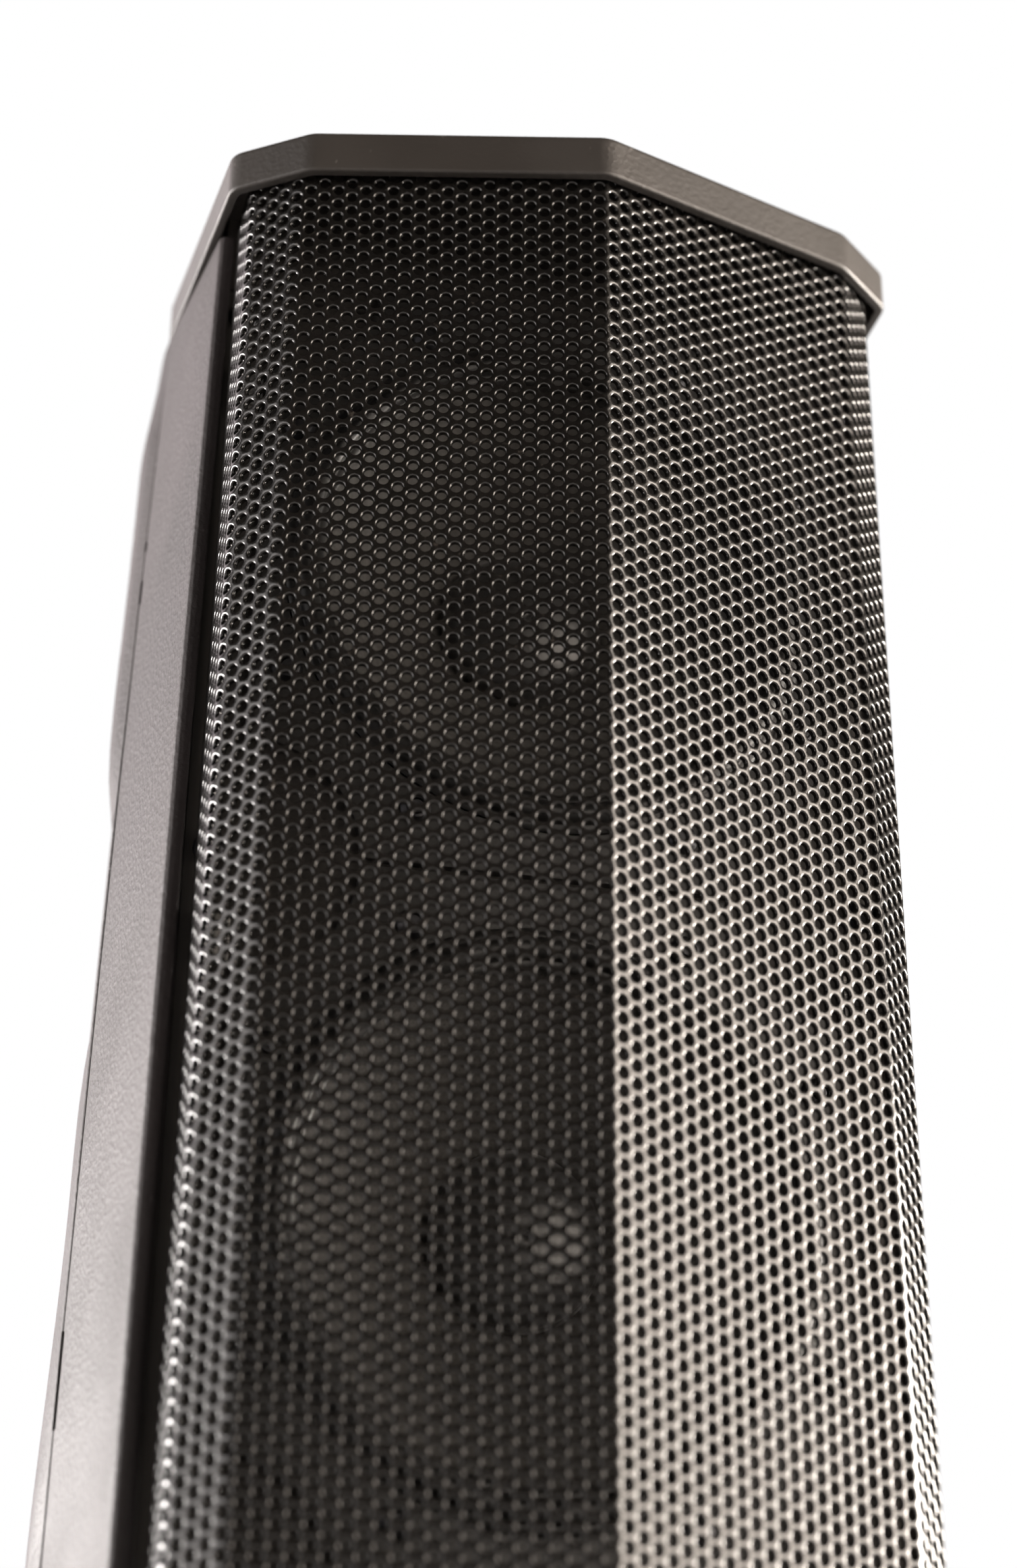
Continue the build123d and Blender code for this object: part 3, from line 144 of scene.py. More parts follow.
# ---- materials -------------------------------------------------------------------------------
class Shader:
    """A small helper that builds one node material."""

    def __init__(self, name):
        self.mat = bpy.data.materials.new(name)
        self.mat.use_nodes = True
        self.tree = self.mat.node_tree
        self.bsdf = self.tree.nodes["Principled BSDF"]
        self.coords = self.tree.nodes.new("ShaderNodeTexCoord").outputs["Object"]

    def put(self, socket, value):
        if isinstance(value, bpy.types.NodeSocket):
            self.tree.links.new(value, socket)
        elif value is not None:
            socket.default_value = value

    def node(self, kind, settings=None, **inputs):
        made = self.tree.nodes.new("ShaderNode" + kind)
        for key, value in (settings or {}).items():
            setattr(made, key, value)
        for key, value in inputs.items():
            self.put(made.inputs[key.replace("_", " ")], value)
        return made

    def stretched(self, scale):
        return self.node("Mapping", Vector=self.coords, Scale=scale).outputs[0]

    def noise(self, scale, detail=3.0, rough=0.55, stretch=None):
        where = self.coords if stretch is None else self.stretched(stretch)
        made = self.node("TexNoise", Vector=where, Scale=scale, Detail=detail, Roughness=rough)
        return made.outputs["Fac"]

    def cells(self, scale, feature="F1", stretch=None):
        where = self.coords if stretch is None else self.stretched(stretch)
        made = self.node("TexVoronoi", {"feature": feature}, Vector=where, Scale=scale)
        return made.outputs["Distance"]

    def wave(self, scale, axis, distortion=0.0):
        made = self.node(
            "TexWave", {"bands_direction": axis}, Vector=self.coords, Scale=scale,
            Distortion=distortion,
        )
        return made.outputs["Fac"]

    def rings(self, scale, centre):
        """Rings about an axis along Y through centre."""
        shifted = self.node("Mapping", Vector=self.coords, Location=centre).outputs[0]
        flat = self.node("VectorMath", {"operation": "MULTIPLY"})
        self.put(flat.inputs[0], shifted)
        flat.inputs[1].default_value = (1, 0, 1)
        length = self.node("VectorMath", {"operation": "LENGTH"})
        self.put(length.inputs[0], flat.outputs[0])
        scaled = self.maths("MULTIPLY", length.outputs["Value"], scale)
        return self.maths("SINE", scaled)

    def maths(self, operation, a, b=None):
        made = self.node("Math", {"operation": operation})
        self.put(made.inputs[0], a)
        if b is not None:
            self.put(made.inputs[1], b)
        return made.outputs[0]

    def span(self, value, low, high, to_low=0.0, to_high=1.0):
        """A smooth step from to_low to to_high as value goes from low to high."""
        made = self.node("MapRange", {"interpolation_type": "SMOOTHSTEP"})
        for key, number in zip(
            ("Value", "From Min", "From Max", "To Min", "To Max"),
            (value, low, high, to_low, to_high),
        ):
            self.put(made.inputs[key], number)
        return made.outputs[0]

    def mix(self, share, a, b):
        made = self.node("Mix", {"data_type": "RGBA"})
        for socket, value in zip((made.inputs[0], made.inputs[6], made.inputs[7]), (share, a, b)):
            self.put(socket, value if isinstance(value, (float, bpy.types.NodeSocket)) else (*value, 1))
        return made.outputs[2]

    def bump(self, height, depth, normal=None):
        made = self.node("Bump", Height=height, Distance=depth, Strength=1.0)
        if normal is not None:
            self.put(made.inputs["Normal"], normal)
        return made.outputs[0]

    def soft_edges(self, radius):
        return self.node("Bevel", {"samples": 4}, Radius=radius).outputs[0]

    def edge_mask(self, radius):
        """1 on convex and concave edges, 0 on flats."""
        edge = self.soft_edges(radius)
        normal = self.node("NewGeometry").outputs["Normal"]
        dot = self.node("VectorMath", {"operation": "DOT_PRODUCT"})
        self.put(dot.inputs[0], edge)
        self.put(dot.inputs[1], normal)
        return self.span(self.maths("SUBTRACT", 1.0, dot.outputs["Value"]), 0.02, 0.25)

    def finish(self, colour, rough, metal=0.0, normal=None, specular=0.5, coat=0.0, sheen=0.0):
        for key, value in (
            ("Base Color", colour if isinstance(colour, bpy.types.NodeSocket) else (*colour, 1)),
            ("Roughness", rough), ("Metallic", metal), ("Normal", normal),
            ("Specular IOR Level", specular), ("Coat Weight", coat), ("Sheen Weight", sheen),
        ):
            self.put(self.bsdf.inputs[key], value)
        return self.mat


def moulded(name, dark, light, rough, grain, depth, edge=0.4 * MM, specular=0.5, wear=0.25):
    """Textured plastic or paint: sand grain, faint clouding, scuffed edges and a few specks."""
    s = Shader(name)
    cloud = s.span(s.noise(9.0, 4.0), 0.35, 0.7)
    tone = s.mix(cloud, dark, light)
    specks = s.span(s.noise(700.0, 1.0, stretch=(1, 1, 0.45)), 0.735, 0.79)
    pale = tuple(min(1.0, 2.6 * c + 0.03) for c in light)
    tone = s.mix(s.maths("MULTIPLY", specks, 0.35), tone, pale)
    worn = s.maths("MULTIPLY", s.edge_mask(edge), s.span(s.noise(60.0, 4.0), 0.35, 0.65, 0.3, 1.0))
    tone = s.mix(s.maths("MULTIPLY", worn, wear), tone, pale)
    gloss = s.span(s.noise(22.0, 5.0, 0.65), 0.3, 0.75, rough - 0.06, rough + 0.07)
    sand = s.maths("ADD", s.noise(grain, 2.0), s.maths("MULTIPLY", s.cells(grain * 0.6), 0.6))
    normal = s.bump(sand, depth, s.soft_edges(edge))
    return s.finish(tone, gloss, normal=normal, specular=specular)


def metal_finish(name, dark, light, rough, brushed=(1, 1, 40), metal=1.0):
    """Machined or plated metal with brushing, stains and softened edges."""
    s = Shader(name)
    lines = s.noise(60.0, 5.0, 0.7, stretch=brushed)
    stain = s.span(s.noise(45.0, 4.0, 0.6), 0.4, 0.72)
    tone = s.mix(s.maths("MULTIPLY", stain, 0.6), light, dark)
    gloss = s.span(lines, 0.3, 0.7, rough - 0.07, rough + 0.1)
    normal = s.bump(lines, 0.01 * MM, s.soft_edges(0.25 * MM))
    return s.finish(tone, gloss, metal=metal, normal=normal)


def grille_paint():
    s = Shader("grille_powder_coat")
    cloud = s.span(s.noise(14.0, 4.0), 0.3, 0.7)
    tone = s.mix(cloud, (0.004, 0.0036, 0.0032), (0.008, 0.0072, 0.0064))
    dust = s.span(s.noise(420.0, 2.0), 0.66, 0.8)
    tone = s.mix(s.maths("MULTIPLY", dust, 0.2), tone, (0.12, 0.105, 0.09))
    gloss = s.span(s.noise(900.0, 3.0), 0.3, 0.7, 0.17, 0.27)
    peel = s.maths("ADD", s.noise(1500.0, 2.0), s.maths("MULTIPLY", s.noise(350.0, 2.0), 0.8))
    return s.finish(tone, gloss, normal=s.bump(peel, 0.035 * MM), specular=0.62)


def plywood():
    s = Shader("baffle_black_stain")
    grain = s.noise(30.0, 6.0, 0.6, stretch=(12, 12, 1))
    plies = s.span(s.wave(240.0, "Y"), 0.35, 0.65)
    tone = s.mix(grain, (0.012, 0.011, 0.010), (0.034, 0.029, 0.025))
    tone = s.mix(s.maths("MULTIPLY", plies, 0.2), tone, (0.08, 0.055, 0.035))
    return s.finish(tone, s.span(grain, 0.2, 0.8, 0.62, 0.85), normal=s.bump(grain, 0.08 * MM))


def pulp(name, centre, dark, light, rough, ring_scale, specular=0.3):
    """Pressed paper with fibres and faint forming rings about the driver's axis."""
    s = Shader(name)
    fibre = s.noise(900.0, 4.0, 0.7, stretch=(1, 0.4, 1))
    long_fibre = s.cells(500.0, "DISTANCE_TO_EDGE", stretch=(0.35, 1, 1))
    rings = s.rings(ring_scale, centre)
    tone = s.mix(s.span(fibre, 0.3, 0.7), dark, light)
    height = s.maths("ADD", s.maths("MULTIPLY", rings, 0.25), s.maths("ADD", fibre, long_fibre))
    return s.finish(tone, rough, normal=s.bump(height, 0.06 * MM), specular=specular, sheen=0.15)


def rubber(name, dark, light, rough):
    s = Shader(name)
    bloom = s.span(s.noise(55.0, 5.0, 0.6), 0.35, 0.75)
    tone = s.mix(bloom, dark, light)
    fine = s.noise(1600.0, 2.0)
    return s.finish(tone, s.maths("ADD", s.maths("MULTIPLY", bloom, 0.15), rough),
                    normal=s.bump(fine, 0.02 * MM), specular=0.5)


def woven(name, dark, light, scale):
    s = Shader(name)
    weave = s.maths("MULTIPLY", s.wave(scale, "X", 0.4), s.wave(scale, "Z", 0.4))
    threads = s.maths("ADD", weave, s.maths("MULTIPLY", s.noise(scale * 2.0, 4.0), 0.5))
    tone = s.mix(s.span(threads, 0.2, 1.0), dark, light)
    return s.finish(tone, 0.85, normal=s.bump(threads, 0.15 * MM), specular=0.2, sheen=0.3)


def fleece():
    s = Shader("wadding_fleece")
    tufts = s.maths("ADD", s.noise(160.0, 6.0, 0.75), s.maths("MULTIPLY", s.cells(260.0), 0.5))
    tone = s.mix(s.span(tufts, 0.35, 1.0), (0.36, 0.35, 0.33), (0.72, 0.71, 0.68))
    return s.finish(tone, 0.95, normal=s.bump(tufts, 0.6 * MM), specular=0.1, sheen=0.5)


def circuit():
    s = Shader("circuit_board_green")
    tracks = s.span(s.cells(150.0, "DISTANCE_TO_EDGE", stretch=(1, 1, 1.6)), 0.04, 0.09)
    pads = s.span(s.cells(240.0), 0.18, 0.24)
    tone = s.mix(tracks, (0.02, 0.14, 0.06), (0.008, 0.075, 0.03))
    tone = s.mix(pads, (0.45, 0.42, 0.36), tone)
    return s.finish(tone, s.span(tracks, 0, 1, 0.3, 0.45), normal=s.bump(tracks, 0.05 * MM), coat=0.4)


def windings(name, dark, light, scale, axis, metal=1.0):
    s = Shader(name)
    turns = s.wave(scale, axis)
    tone = s.mix(s.span(turns, 0.2, 0.9), dark, light)
    return s.finish(tone, 0.32, metal=metal, normal=s.bump(turns, 0.08 * MM), coat=0.3)


def ferrite():
    s = Shader("ferrite_grey")
    grit = s.noise(800.0, 5.0, 0.7)
    chips = s.span(s.cells(90.0), 0.04, 0.1)
    tone = s.mix(grit, (0.035, 0.036, 0.038), (0.10, 0.10, 0.105))
    tone = s.mix(chips, (0.16, 0.16, 0.165), tone)
    return s.finish(tone, s.span(grit, 0.2, 0.8, 0.45, 0.7), normal=s.bump(grit, 0.06 * MM))


def lamp():
    s = Shader("lamp_lens_green")
    facets = s.cells(1400.0)
    tone = s.mix(facets, (0.10, 0.42, 0.12), (0.22, 0.70, 0.24))
    mat = s.finish(tone, 0.18, normal=s.bump(facets, 0.05 * MM), coat=0.8)
    s.put(s.bsdf.inputs["Emission Color"], (0.2, 1.0, 0.25, 1))
    s.bsdf.inputs["Emission Strength"].default_value = 0.25
    return mat


def slot_materials():
    """A material for each of the record's slots that a CAD node keeps."""
    black = (0.016, 0.016, 0.016)
    return {
        "shell_plastic": moulded(
            "shell_fine_texture", (0.015, 0.0122, 0.0122), (0.027, 0.0218, 0.0220), 0.52, 900.0,
            0.16 * MM, edge=0.8 * MM, specular=0.3, wear=0.35),
        "cap_plastic": moulded(
            "cap_fine_texture", (0.021, 0.0185, 0.0165), (0.033, 0.029, 0.026), 0.45, 1000.0,
            0.08 * MM, edge=0.8 * MM, wear=0.3),
        "rubber": rubber("rubber_black", (0.012, 0.012, 0.012), (0.035, 0.034, 0.033), 0.6),
        "baffle_ply": plywood(),
        "zinc_steel": metal_finish("zinc_plate", (0.33, 0.33, 0.31), (0.62, 0.61, 0.57), 0.33),
        "spring_steel": metal_finish("spring_steel", (0.20, 0.20, 0.21), (0.42, 0.41, 0.40), 0.3),
        "ferrite": ferrite(),
        "horn_plastic": moulded("horn_satin", black, (0.028, 0.028, 0.028), 0.42, 900.0, 0.03 * MM),
        "driver_can": metal_finish("driver_can_black", (0.02, 0.02, 0.02), (0.05, 0.05, 0.05), 0.4,
                                   (40, 40, 1), metal=0.2),
        "titanium_foil": metal_finish("titanium_foil", (0.32, 0.31, 0.29), (0.56, 0.54, 0.50), 0.28),
        "black_screw": metal_finish("black_oxide", (0.015, 0.015, 0.016), (0.07, 0.07, 0.075), 0.38,
                                    (20, 20, 20)),
        "panel_black": moulded("panel_powder_coat", black, (0.03, 0.03, 0.031), 0.5, 1100.0, 0.06 * MM),
        "anodised_sink": metal_finish("anodised_black", (0.016, 0.016, 0.018), (0.05, 0.05, 0.055),
                                      0.36, (30, 30, 1), metal=0.75),
        "board_green": circuit(),
        "transformer_wrap": windings("transformer_tape", (0.20, 0.11, 0.02), (0.52, 0.33, 0.08),
                                     90.0, "Z", metal=0.0),
        "connector_plastic": moulded("connector_nylon", black, (0.024, 0.024, 0.025), 0.45, 900.0,
                                     0.03 * MM),
        "rocker_plastic": moulded("rocker_gloss", (0.012, 0.012, 0.012), (0.02, 0.02, 0.02), 0.25,
                                  700.0, 0.01 * MM),
        "knob_plastic": moulded("knob_soft_touch", (0.02, 0.02, 0.021), (0.035, 0.035, 0.036), 0.6,
                                1800.0, 0.03 * MM),
        "button_plastic": moulded("button_grey", (0.22, 0.22, 0.23), (0.29, 0.29, 0.30), 0.45, 1200.0,
                                  0.02 * MM),
        "lamp_lens": lamp(),
        "connector_metal": metal_finish("nickel_black", (0.10, 0.10, 0.11), (0.24, 0.24, 0.25), 0.32),
        "latch_metal": metal_finish("nickel_bright", (0.45, 0.44, 0.42), (0.72, 0.70, 0.66), 0.25),
        "cable_jacket": rubber("cable_jacket", (0.02, 0.018, 0.017), (0.05, 0.045, 0.042), 0.45),
        "copper_coil": windings("copper_turns", (0.30, 0.12, 0.05), (0.75, 0.36, 0.18), 700.0, "Y"),
        "basket_paint": moulded("basket_paint", (0.008, 0.008, 0.008), (0.022, 0.021, 0.020), 0.45,
                                600.0, 0.04 * MM),
    }


def dress_cad_nodes(made):
    for part in frame["record"]["subparts"]:
        material = made.get(part["material_slot"])
        if material is None:
            continue
        mesh = NODES[part["node"]].data
        mesh.materials.clear()
        mesh.materials.append(material)


# ---- mesh helpers ----------------------------------------------------------------------------
def mesh_object(name, points, quads, material, body, slot, *stands_for):
    """One smooth mesh object from arrays of points and four-cornered faces."""
    mesh = bpy.data.meshes.new(name)
    mesh.vertices.add(len(points))
    mesh.vertices.foreach_set("co", np.asarray(points, np.float32).ravel())
    quads = np.asarray(quads, np.int32)
    mesh.loops.add(quads.size)
    mesh.loops.foreach_set("vertex_index", quads.ravel())
    mesh.polygons.add(len(quads))
    mesh.polygons.foreach_set("loop_start", np.arange(0, quads.size, 4, dtype=np.int32))
    mesh.update(calc_edges=True)
    mesh.polygons.foreach_set("use_smooth", np.ones(len(quads), bool))
    mesh.materials.append(material)
    obj = bpy.data.objects.new(name, mesh)
    bpy.context.scene.collection.objects.link(obj)
    if body:
        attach(obj, body)
    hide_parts(*stands_for)
    return obj


def turned(profile, centre, steps):
    """Points and faces of a closed (radius, depth) profile turned about Y through centre."""
    profile = np.asarray(profile, float)
    angle = np.linspace(0, 2 * np.pi, steps, endpoint=False)
    count = len(profile)
    radius = np.repeat(profile[None, :, 0], steps, 0)
    depth = np.repeat(profile[None, :, 1], steps, 0)
    x = centre.x + radius * np.cos(angle)[:, None]
    z = centre.z + radius * np.sin(angle)[:, None]
    points = np.stack([x, centre.y + depth, z], -1).reshape(-1, 3)
    ring = np.arange(steps)
    along = np.arange(count)
    a = ring[:, None] * count + along[None]
    b = ((ring + 1) % steps)[:, None] * count + along[None]
    a2 = ring[:, None] * count + (along[None] + 1) % count
    b2 = ((ring + 1) % steps)[:, None] * count + (along[None] + 1) % count
    return points, np.stack([a, a2, b2, b], -1).reshape(-1, 4)


def thick(line, thickness):
    """A closed profile from an open (radius, depth) line, thickened backwards."""
    line = np.asarray(line, float)
    way = np.gradient(line, axis=0)
    way /= np.linalg.norm(way, axis=1)[:, None]
    normal = np.stack([-way[:, 1], way[:, 0]], 1)
    return np.vstack([line, (line + normal * thickness)[::-1]])


# ---- perforated sheet ------------------------------------------------------------------------
def outer_corners():
    """Corners of the sheet's outer line on the right half, from the ridge back."""
    points = sorted({(round(v.co.x, 6), round(v.co.y, 6)) for v in NODES["grille"].data.vertices})
    hull = []
    for p in points:
        while len(hull) > 1 and (
            (hull[-1][0] - hull[-2][0]) * (p[1] - hull[-2][1])
            - (hull[-1][1] - hull[-2][1]) * (p[0] - hull[-2][0])
        ) <= 0:
            hull.pop()
        hull.append(p)
    return [p for p in hull if p[0] > -TINY]


def folded_line():
    """The right half of the sheet's section with rounded folds: rows of length, x, y and sweep."""
    corners = outer_corners()
    ways = [math.atan2(b[1] - a[1], b[0] - a[0]) for a, b in zip(corners, corners[1:])]
    rows, s = [], 0.0
    turns = [2 * ways[0]] + [b - a for a, b in zip(ways, ways[1:])]
    tucks = [FOLD_R * math.tan(turn / 2) for turn in turns] + [0.0]
    for k, way in enumerate(ways):
        turn = turns[k]
        start = 0.0 if k == 0 else way - turn
        share = turn / 2 if k == 0 else turn
        first = Vector(corners[k]) + Vector((math.cos(way), math.sin(way))) * tucks[k]
        centre = first + Vector((-math.sin(way), math.cos(way))) * FOLD_R
        for step in range(FOLD_STEPS + 1):
            sweep = start + share * step / FOLD_STEPS
            spot = centre + Vector((math.sin(sweep), -math.cos(sweep))) * FOLD_R
            rows.append((s, spot.x, spot.y, sweep))
            if step < FOLD_STEPS:
                s += (FOLD_R - SHEET_T / 2) * share / FOLD_STEPS
        last = Vector(corners[k + 1]) - Vector((math.cos(way), math.sin(way))) * tucks[k + 1]
        s += (last - first).length
        rows.append((s, last.x, last.y, way))
    return np.array(rows)


def fold(table, u, w):
    """Places flat sheet points (distance u from the ridge, depth w) on the folded section."""
    s = np.abs(u)
    sweep = np.interp(s, table[:, 0], table[:, 3])
    x = np.interp(s, table[:, 0], table[:, 1]) - w * np.sin(sweep)
    y = np.interp(s, table[:, 0], table[:, 2]) + w * np.cos(sweep)
    return np.sign(u + 1e-12) * x, y


def hexagon():
    """The twelve points round a cell's edge, in whole units, and their directions."""
    units = [(4, 0), (3, 1), (2, 2), (0, 2), (-2, 2), (-3, 1),
             (-4, 0), (-3, -1), (-2, -2), (0, -2), (2, -2), (3, -1)]
    return np.array(units), np.radians(np.arange(0, 360, 30))


def rings_of_hole():
    """Radius and depth of the rings between a cell's front edge and its back edge."""
    bevel = EDGE_R * (1 - math.sqrt(0.5))
    return [
        (HOLE_R + EDGE_R, 0.0), (HOLE_R + bevel, bevel), (HOLE_R, EDGE_R),
        (HOLE_R, SHEET_T - bevel),
    ]


def build_grille(material):
    """The sheet as one cell round each hole, in bands, with plain hems at its edges."""
    table = folded_line()
    low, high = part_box("grille")
    reach = table[-1, 0]
    columns = range(
        math.ceil((-reach + SIDE_MARGIN) / COLUMN - COLUMN_SHIFT),
        math.floor((reach - SIDE_MARGIN) / COLUMN - COLUMN_SHIFT) + 1,
    )
    middle = (low.z + high.z) / 2
    half_rows = int((high.z - low.z) / 2 / PITCH - END_MARGIN)
    cells = {(k, j) for k in columns for j in range(-half_rows, half_rows + (k % 2 == 0))}
    around, directions = hexagon()
    rings = rings_of_hole()
    per_band = (2 * half_rows + 1) / BANDS
    bands = [[] for _ in range(BANDS)]
    for k, j in sorted(cells):
        bands[min(int((j + half_rows) / per_band), BANDS - 1)].append((k, j))

    def flat(units_u, units_z, w):
        u = (units_u / CELL_U + COLUMN_SHIFT) * COLUMN
        x, y = fold(table, u, w)
        return np.stack([x, y, middle + units_z * UNIT_Z], -1)

    for number, band in enumerate(bands, 1):
        kj = np.array(band)
        iu = kj[:, 0] * CELL_U
        iz = kj[:, 1] * CELL_Z + (kj[:, 0] % 2) * (CELL_Z // 2)
        edge_u = iu[:, None] + around[None, :, 0]
        edge_z = iz[:, None] + around[None, :, 1]
        keys, index = np.unique(
            np.stack([edge_u.ravel(), edge_z.ravel()], 1), axis=0, return_inverse=True)
        index = index.reshape(-1, 12)
        points = [flat(keys[:, 0].astype(float), keys[:, 1].astype(float), w)
                  for w in (0.0, SHEET_T)]
        base = len(keys)
        quads = []

        def ring_faces(a, b):
            quads.append(np.stack([a, np.roll(a, -1, 1), np.roll(b, -1, 1), b], -1).reshape(-1, 4))

        previous, offset = index, 2 * base
        for radius, depth in rings:
            u = (iu / CELL_U + COLUMN_SHIFT)[:, None] * COLUMN + radius * np.cos(directions)
            z = middle + iz[:, None] * UNIT_Z + radius * np.sin(directions)
            x, y = fold(table, u, np.full(u.shape, depth))
            points.append(np.stack([x, y, z], -1).reshape(-1, 3))
            ring = offset + np.arange(u.size).reshape(u.shape)
            ring_faces(previous, ring)
            previous, offset = ring, offset + u.size
        ring_faces(previous, index + base)
        border = hem(kj, cells, index, keys, columns, table, low.z, high.z, middle)
        if border is not None:
            hem_points, hem_quads = border(offset, base)
            points.append(hem_points)
            quads.append(hem_quads)
        mesh_object(f"grille_band_{number:02d}", np.vstack(points), np.vstack(quads)[:, ::-1],
                    material, "cabinet", "grille_steel", "grille")


def hem(kj, cells, index, keys, columns, table, low, high, middle):
    """Plain strips from the outermost cells to the sheet's straight edges, and the edges' thickness."""
    reach = table[-1, 0]
    first, last = columns[0], columns[-1]
    free = []
    for cell, (k, j) in enumerate(kj.tolist()):
        up = k % 2
        beside = {
            0: (k + 1, j + up), 1: (k + 1, j + up), 2: (k, j + 1), 3: (k, j + 1),
            4: (k - 1, j + up), 5: (k - 1, j + up), 6: (k - 1, j + up - 1), 7: (k - 1, j + up - 1),
            8: (k, j - 1), 9: (k, j - 1), 10: (k + 1, j + up - 1), 11: (k + 1, j + up - 1),
        }
        for corner in range(12):
            if beside[corner] not in cells:
                free.append((cell, corner, beside[corner][0]))
    if not free:
        return None

    def border(offset, base):
        points, quads = [], []
        for cell, corner, towards in free:
            a, b = index[cell, corner], index[cell, (corner + 1) % 12]
            ends = []
            for vertex in (b, a):
                u = (keys[vertex, 0] / CELL_U + COLUMN_SHIFT) * COLUMN
                z = middle + keys[vertex, 1] * UNIT_Z
                if towards > last:
                    u = reach
                elif towards < first:
                    u = -reach
                elif corner in (0, 1, 2, 3, 4, 5):
                    z = high
                else:
                    z = low
                for w in (0.0, SHEET_T):
                    x, y = fold(table, np.array(u), np.array(w))
                    ends.append((float(x), float(y), z))
            start = offset + len(points)
            points += ends
            quads += [
                (b, a, start + 2, start), (a + base, b + base, start + 1, start + 3),
                (start, start + 2, start + 3, start + 1),
            ]
        return np.array(points), np.array(quads)

    return border


# ---- woofers ---------------------------------------------------------------------------------
def half_width(node):
    low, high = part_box(node)
    return (high.x - low.x) / 2


def build_surround(k, axis, cone_r, material):
    """A half roll of rubber between the frame and the cone."""
    low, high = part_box(f"surround_{k}")
    outer = (high.x - low.x) / 2
    roll_out, roll_in = outer - SURROUND_FLANGE, cone_r + ROLL_START
    middle, half = (roll_out + roll_in) / 2, (roll_out - roll_in) / 2
    rest = low.y + half + ROLL_CLEAR
    line = [(outer, rest), (roll_out + SURROUND_CREASE, rest)]
    line += [(middle + half * math.cos(t), rest - half * math.sin(t))
             for t in np.linspace(0, math.pi, 17)]
    line += [(roll_in - SURROUND_CREASE, rest), (cone_r - SURROUND_LAP, rest)]
    points, quads = turned(thick(line, -SURROUND_T), axis, steps=144)
    soft = mesh_object(
        f"surround_roll_{k}", points, quads, material, None, "surround_rubber", f"surround_{k}")
    hang(soft)


def build_cone(k, axis, body, cone_r, coil_r, material):
    """The paper cone, slightly curved, with two pressed rings."""
    low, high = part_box(f"cone_{k}")
    depth = high.y - low.y
    line = [(cone_r + 0.1 * MM, low.y + CONE_EDGE)]
    for t in np.linspace(0, 1, 26):
        r = cone_r - 0.2 * MM + (coil_r + 0.4 * MM - cone_r) * t
        rib = sum(RIB_HEIGHT * max(0.0, 1 - abs(t - ring) / RIB_SHARE) for ring in CONE_RIBS)
        line.append((r, low.y + 0.7 * MM + (depth - 1.6 * MM) * t ** CONE_CURVE - rib))
    points, quads = turned(thick(line, -CONE_T), axis, steps=120)
    mesh_object(f"cone_paper_{k}", points, quads, material, body, "cone_paper", f"cone_{k}")


def build_dust_cap(k, axis, body, material):
    """A domed paper cap with a narrow brim."""
    low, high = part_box(f"dust_cap_{k}")
    cap_r, rise = (high.x - low.x) / 2, high.y - low.y
    line = [(cap_r, high.y), (cap_r - 0.7 * MM, high.y - 0.8 * MM)]
    line += [(cap_r * math.cos(t) - DOME_BRIM * math.cos(t), high.y - DOME_BRIM
              - (rise - DOME_BRIM) * math.sin(t)) for t in np.linspace(0.06, math.pi / 2 - 0.02, 20)]
    points, quads = turned(thick(line, -DOME_T), axis, steps=96)
    mesh_object(f"dust_dome_{k}", points, quads, material, body, "dust_cap_paper", f"dust_cap_{k}")


def build_spider(k, axis, coil_r, material):
    """The corrugated cloth disc behind the cone."""
    low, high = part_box(f"spider_{k}")
    outer = (high.x - low.x) / 2
    level, swing = (low.y + high.y) / 2, (high.y - low.y) / 2 - 0.3 * MM
    radii = np.linspace(outer, coil_r + 0.2 * MM, 90)
    ramp = np.clip(np.minimum((outer - radii) / (4 * MM), (radii - coil_r) / (3 * MM)), 0, 1)
    spot = (outer - radii) / (outer - coil_r)
    line = np.stack([radii, level + swing * ramp * np.sin(2 * np.pi * SPIDER_WAVES * spot)], 1)
    points, quads = turned(thick(line, -SPIDER_T), axis, steps=96)
    soft = mesh_object(
        f"spider_disc_{k}", points, quads, material, None, "spider_cloth", f"spider_{k}")
    hang(soft)


def build_woofers(made):
    for k in WOOFERS:
        low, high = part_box(f"surround_{k}")
        axis = Vector((0, 0, (low.z + high.z) / 2))
        away = tuple(-axis)
        body = f"cone_assembly_{k}"
        cone_r, coil_r = half_width(f"cone_{k}"), half_width(f"voice_coil_{k}")
        build_surround(k, axis, cone_r, made["surround"])
        build_cone(k, axis, body, cone_r, coil_r, made["cone"](k, away))
        build_dust_cap(k, axis, body, made["dome"](k, away))
        build_spider(k, axis, coil_r, made["spider"])


def hang(obj):
    """Bakes a ring's placement into its mesh; nothing ties the ring to the cone."""
    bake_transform(obj)
    co = np.zeros(len(obj.data.vertices) * 3, np.float32)
    obj.data.vertices.foreach_get("co", co)
    co = co.reshape(-1, 3)


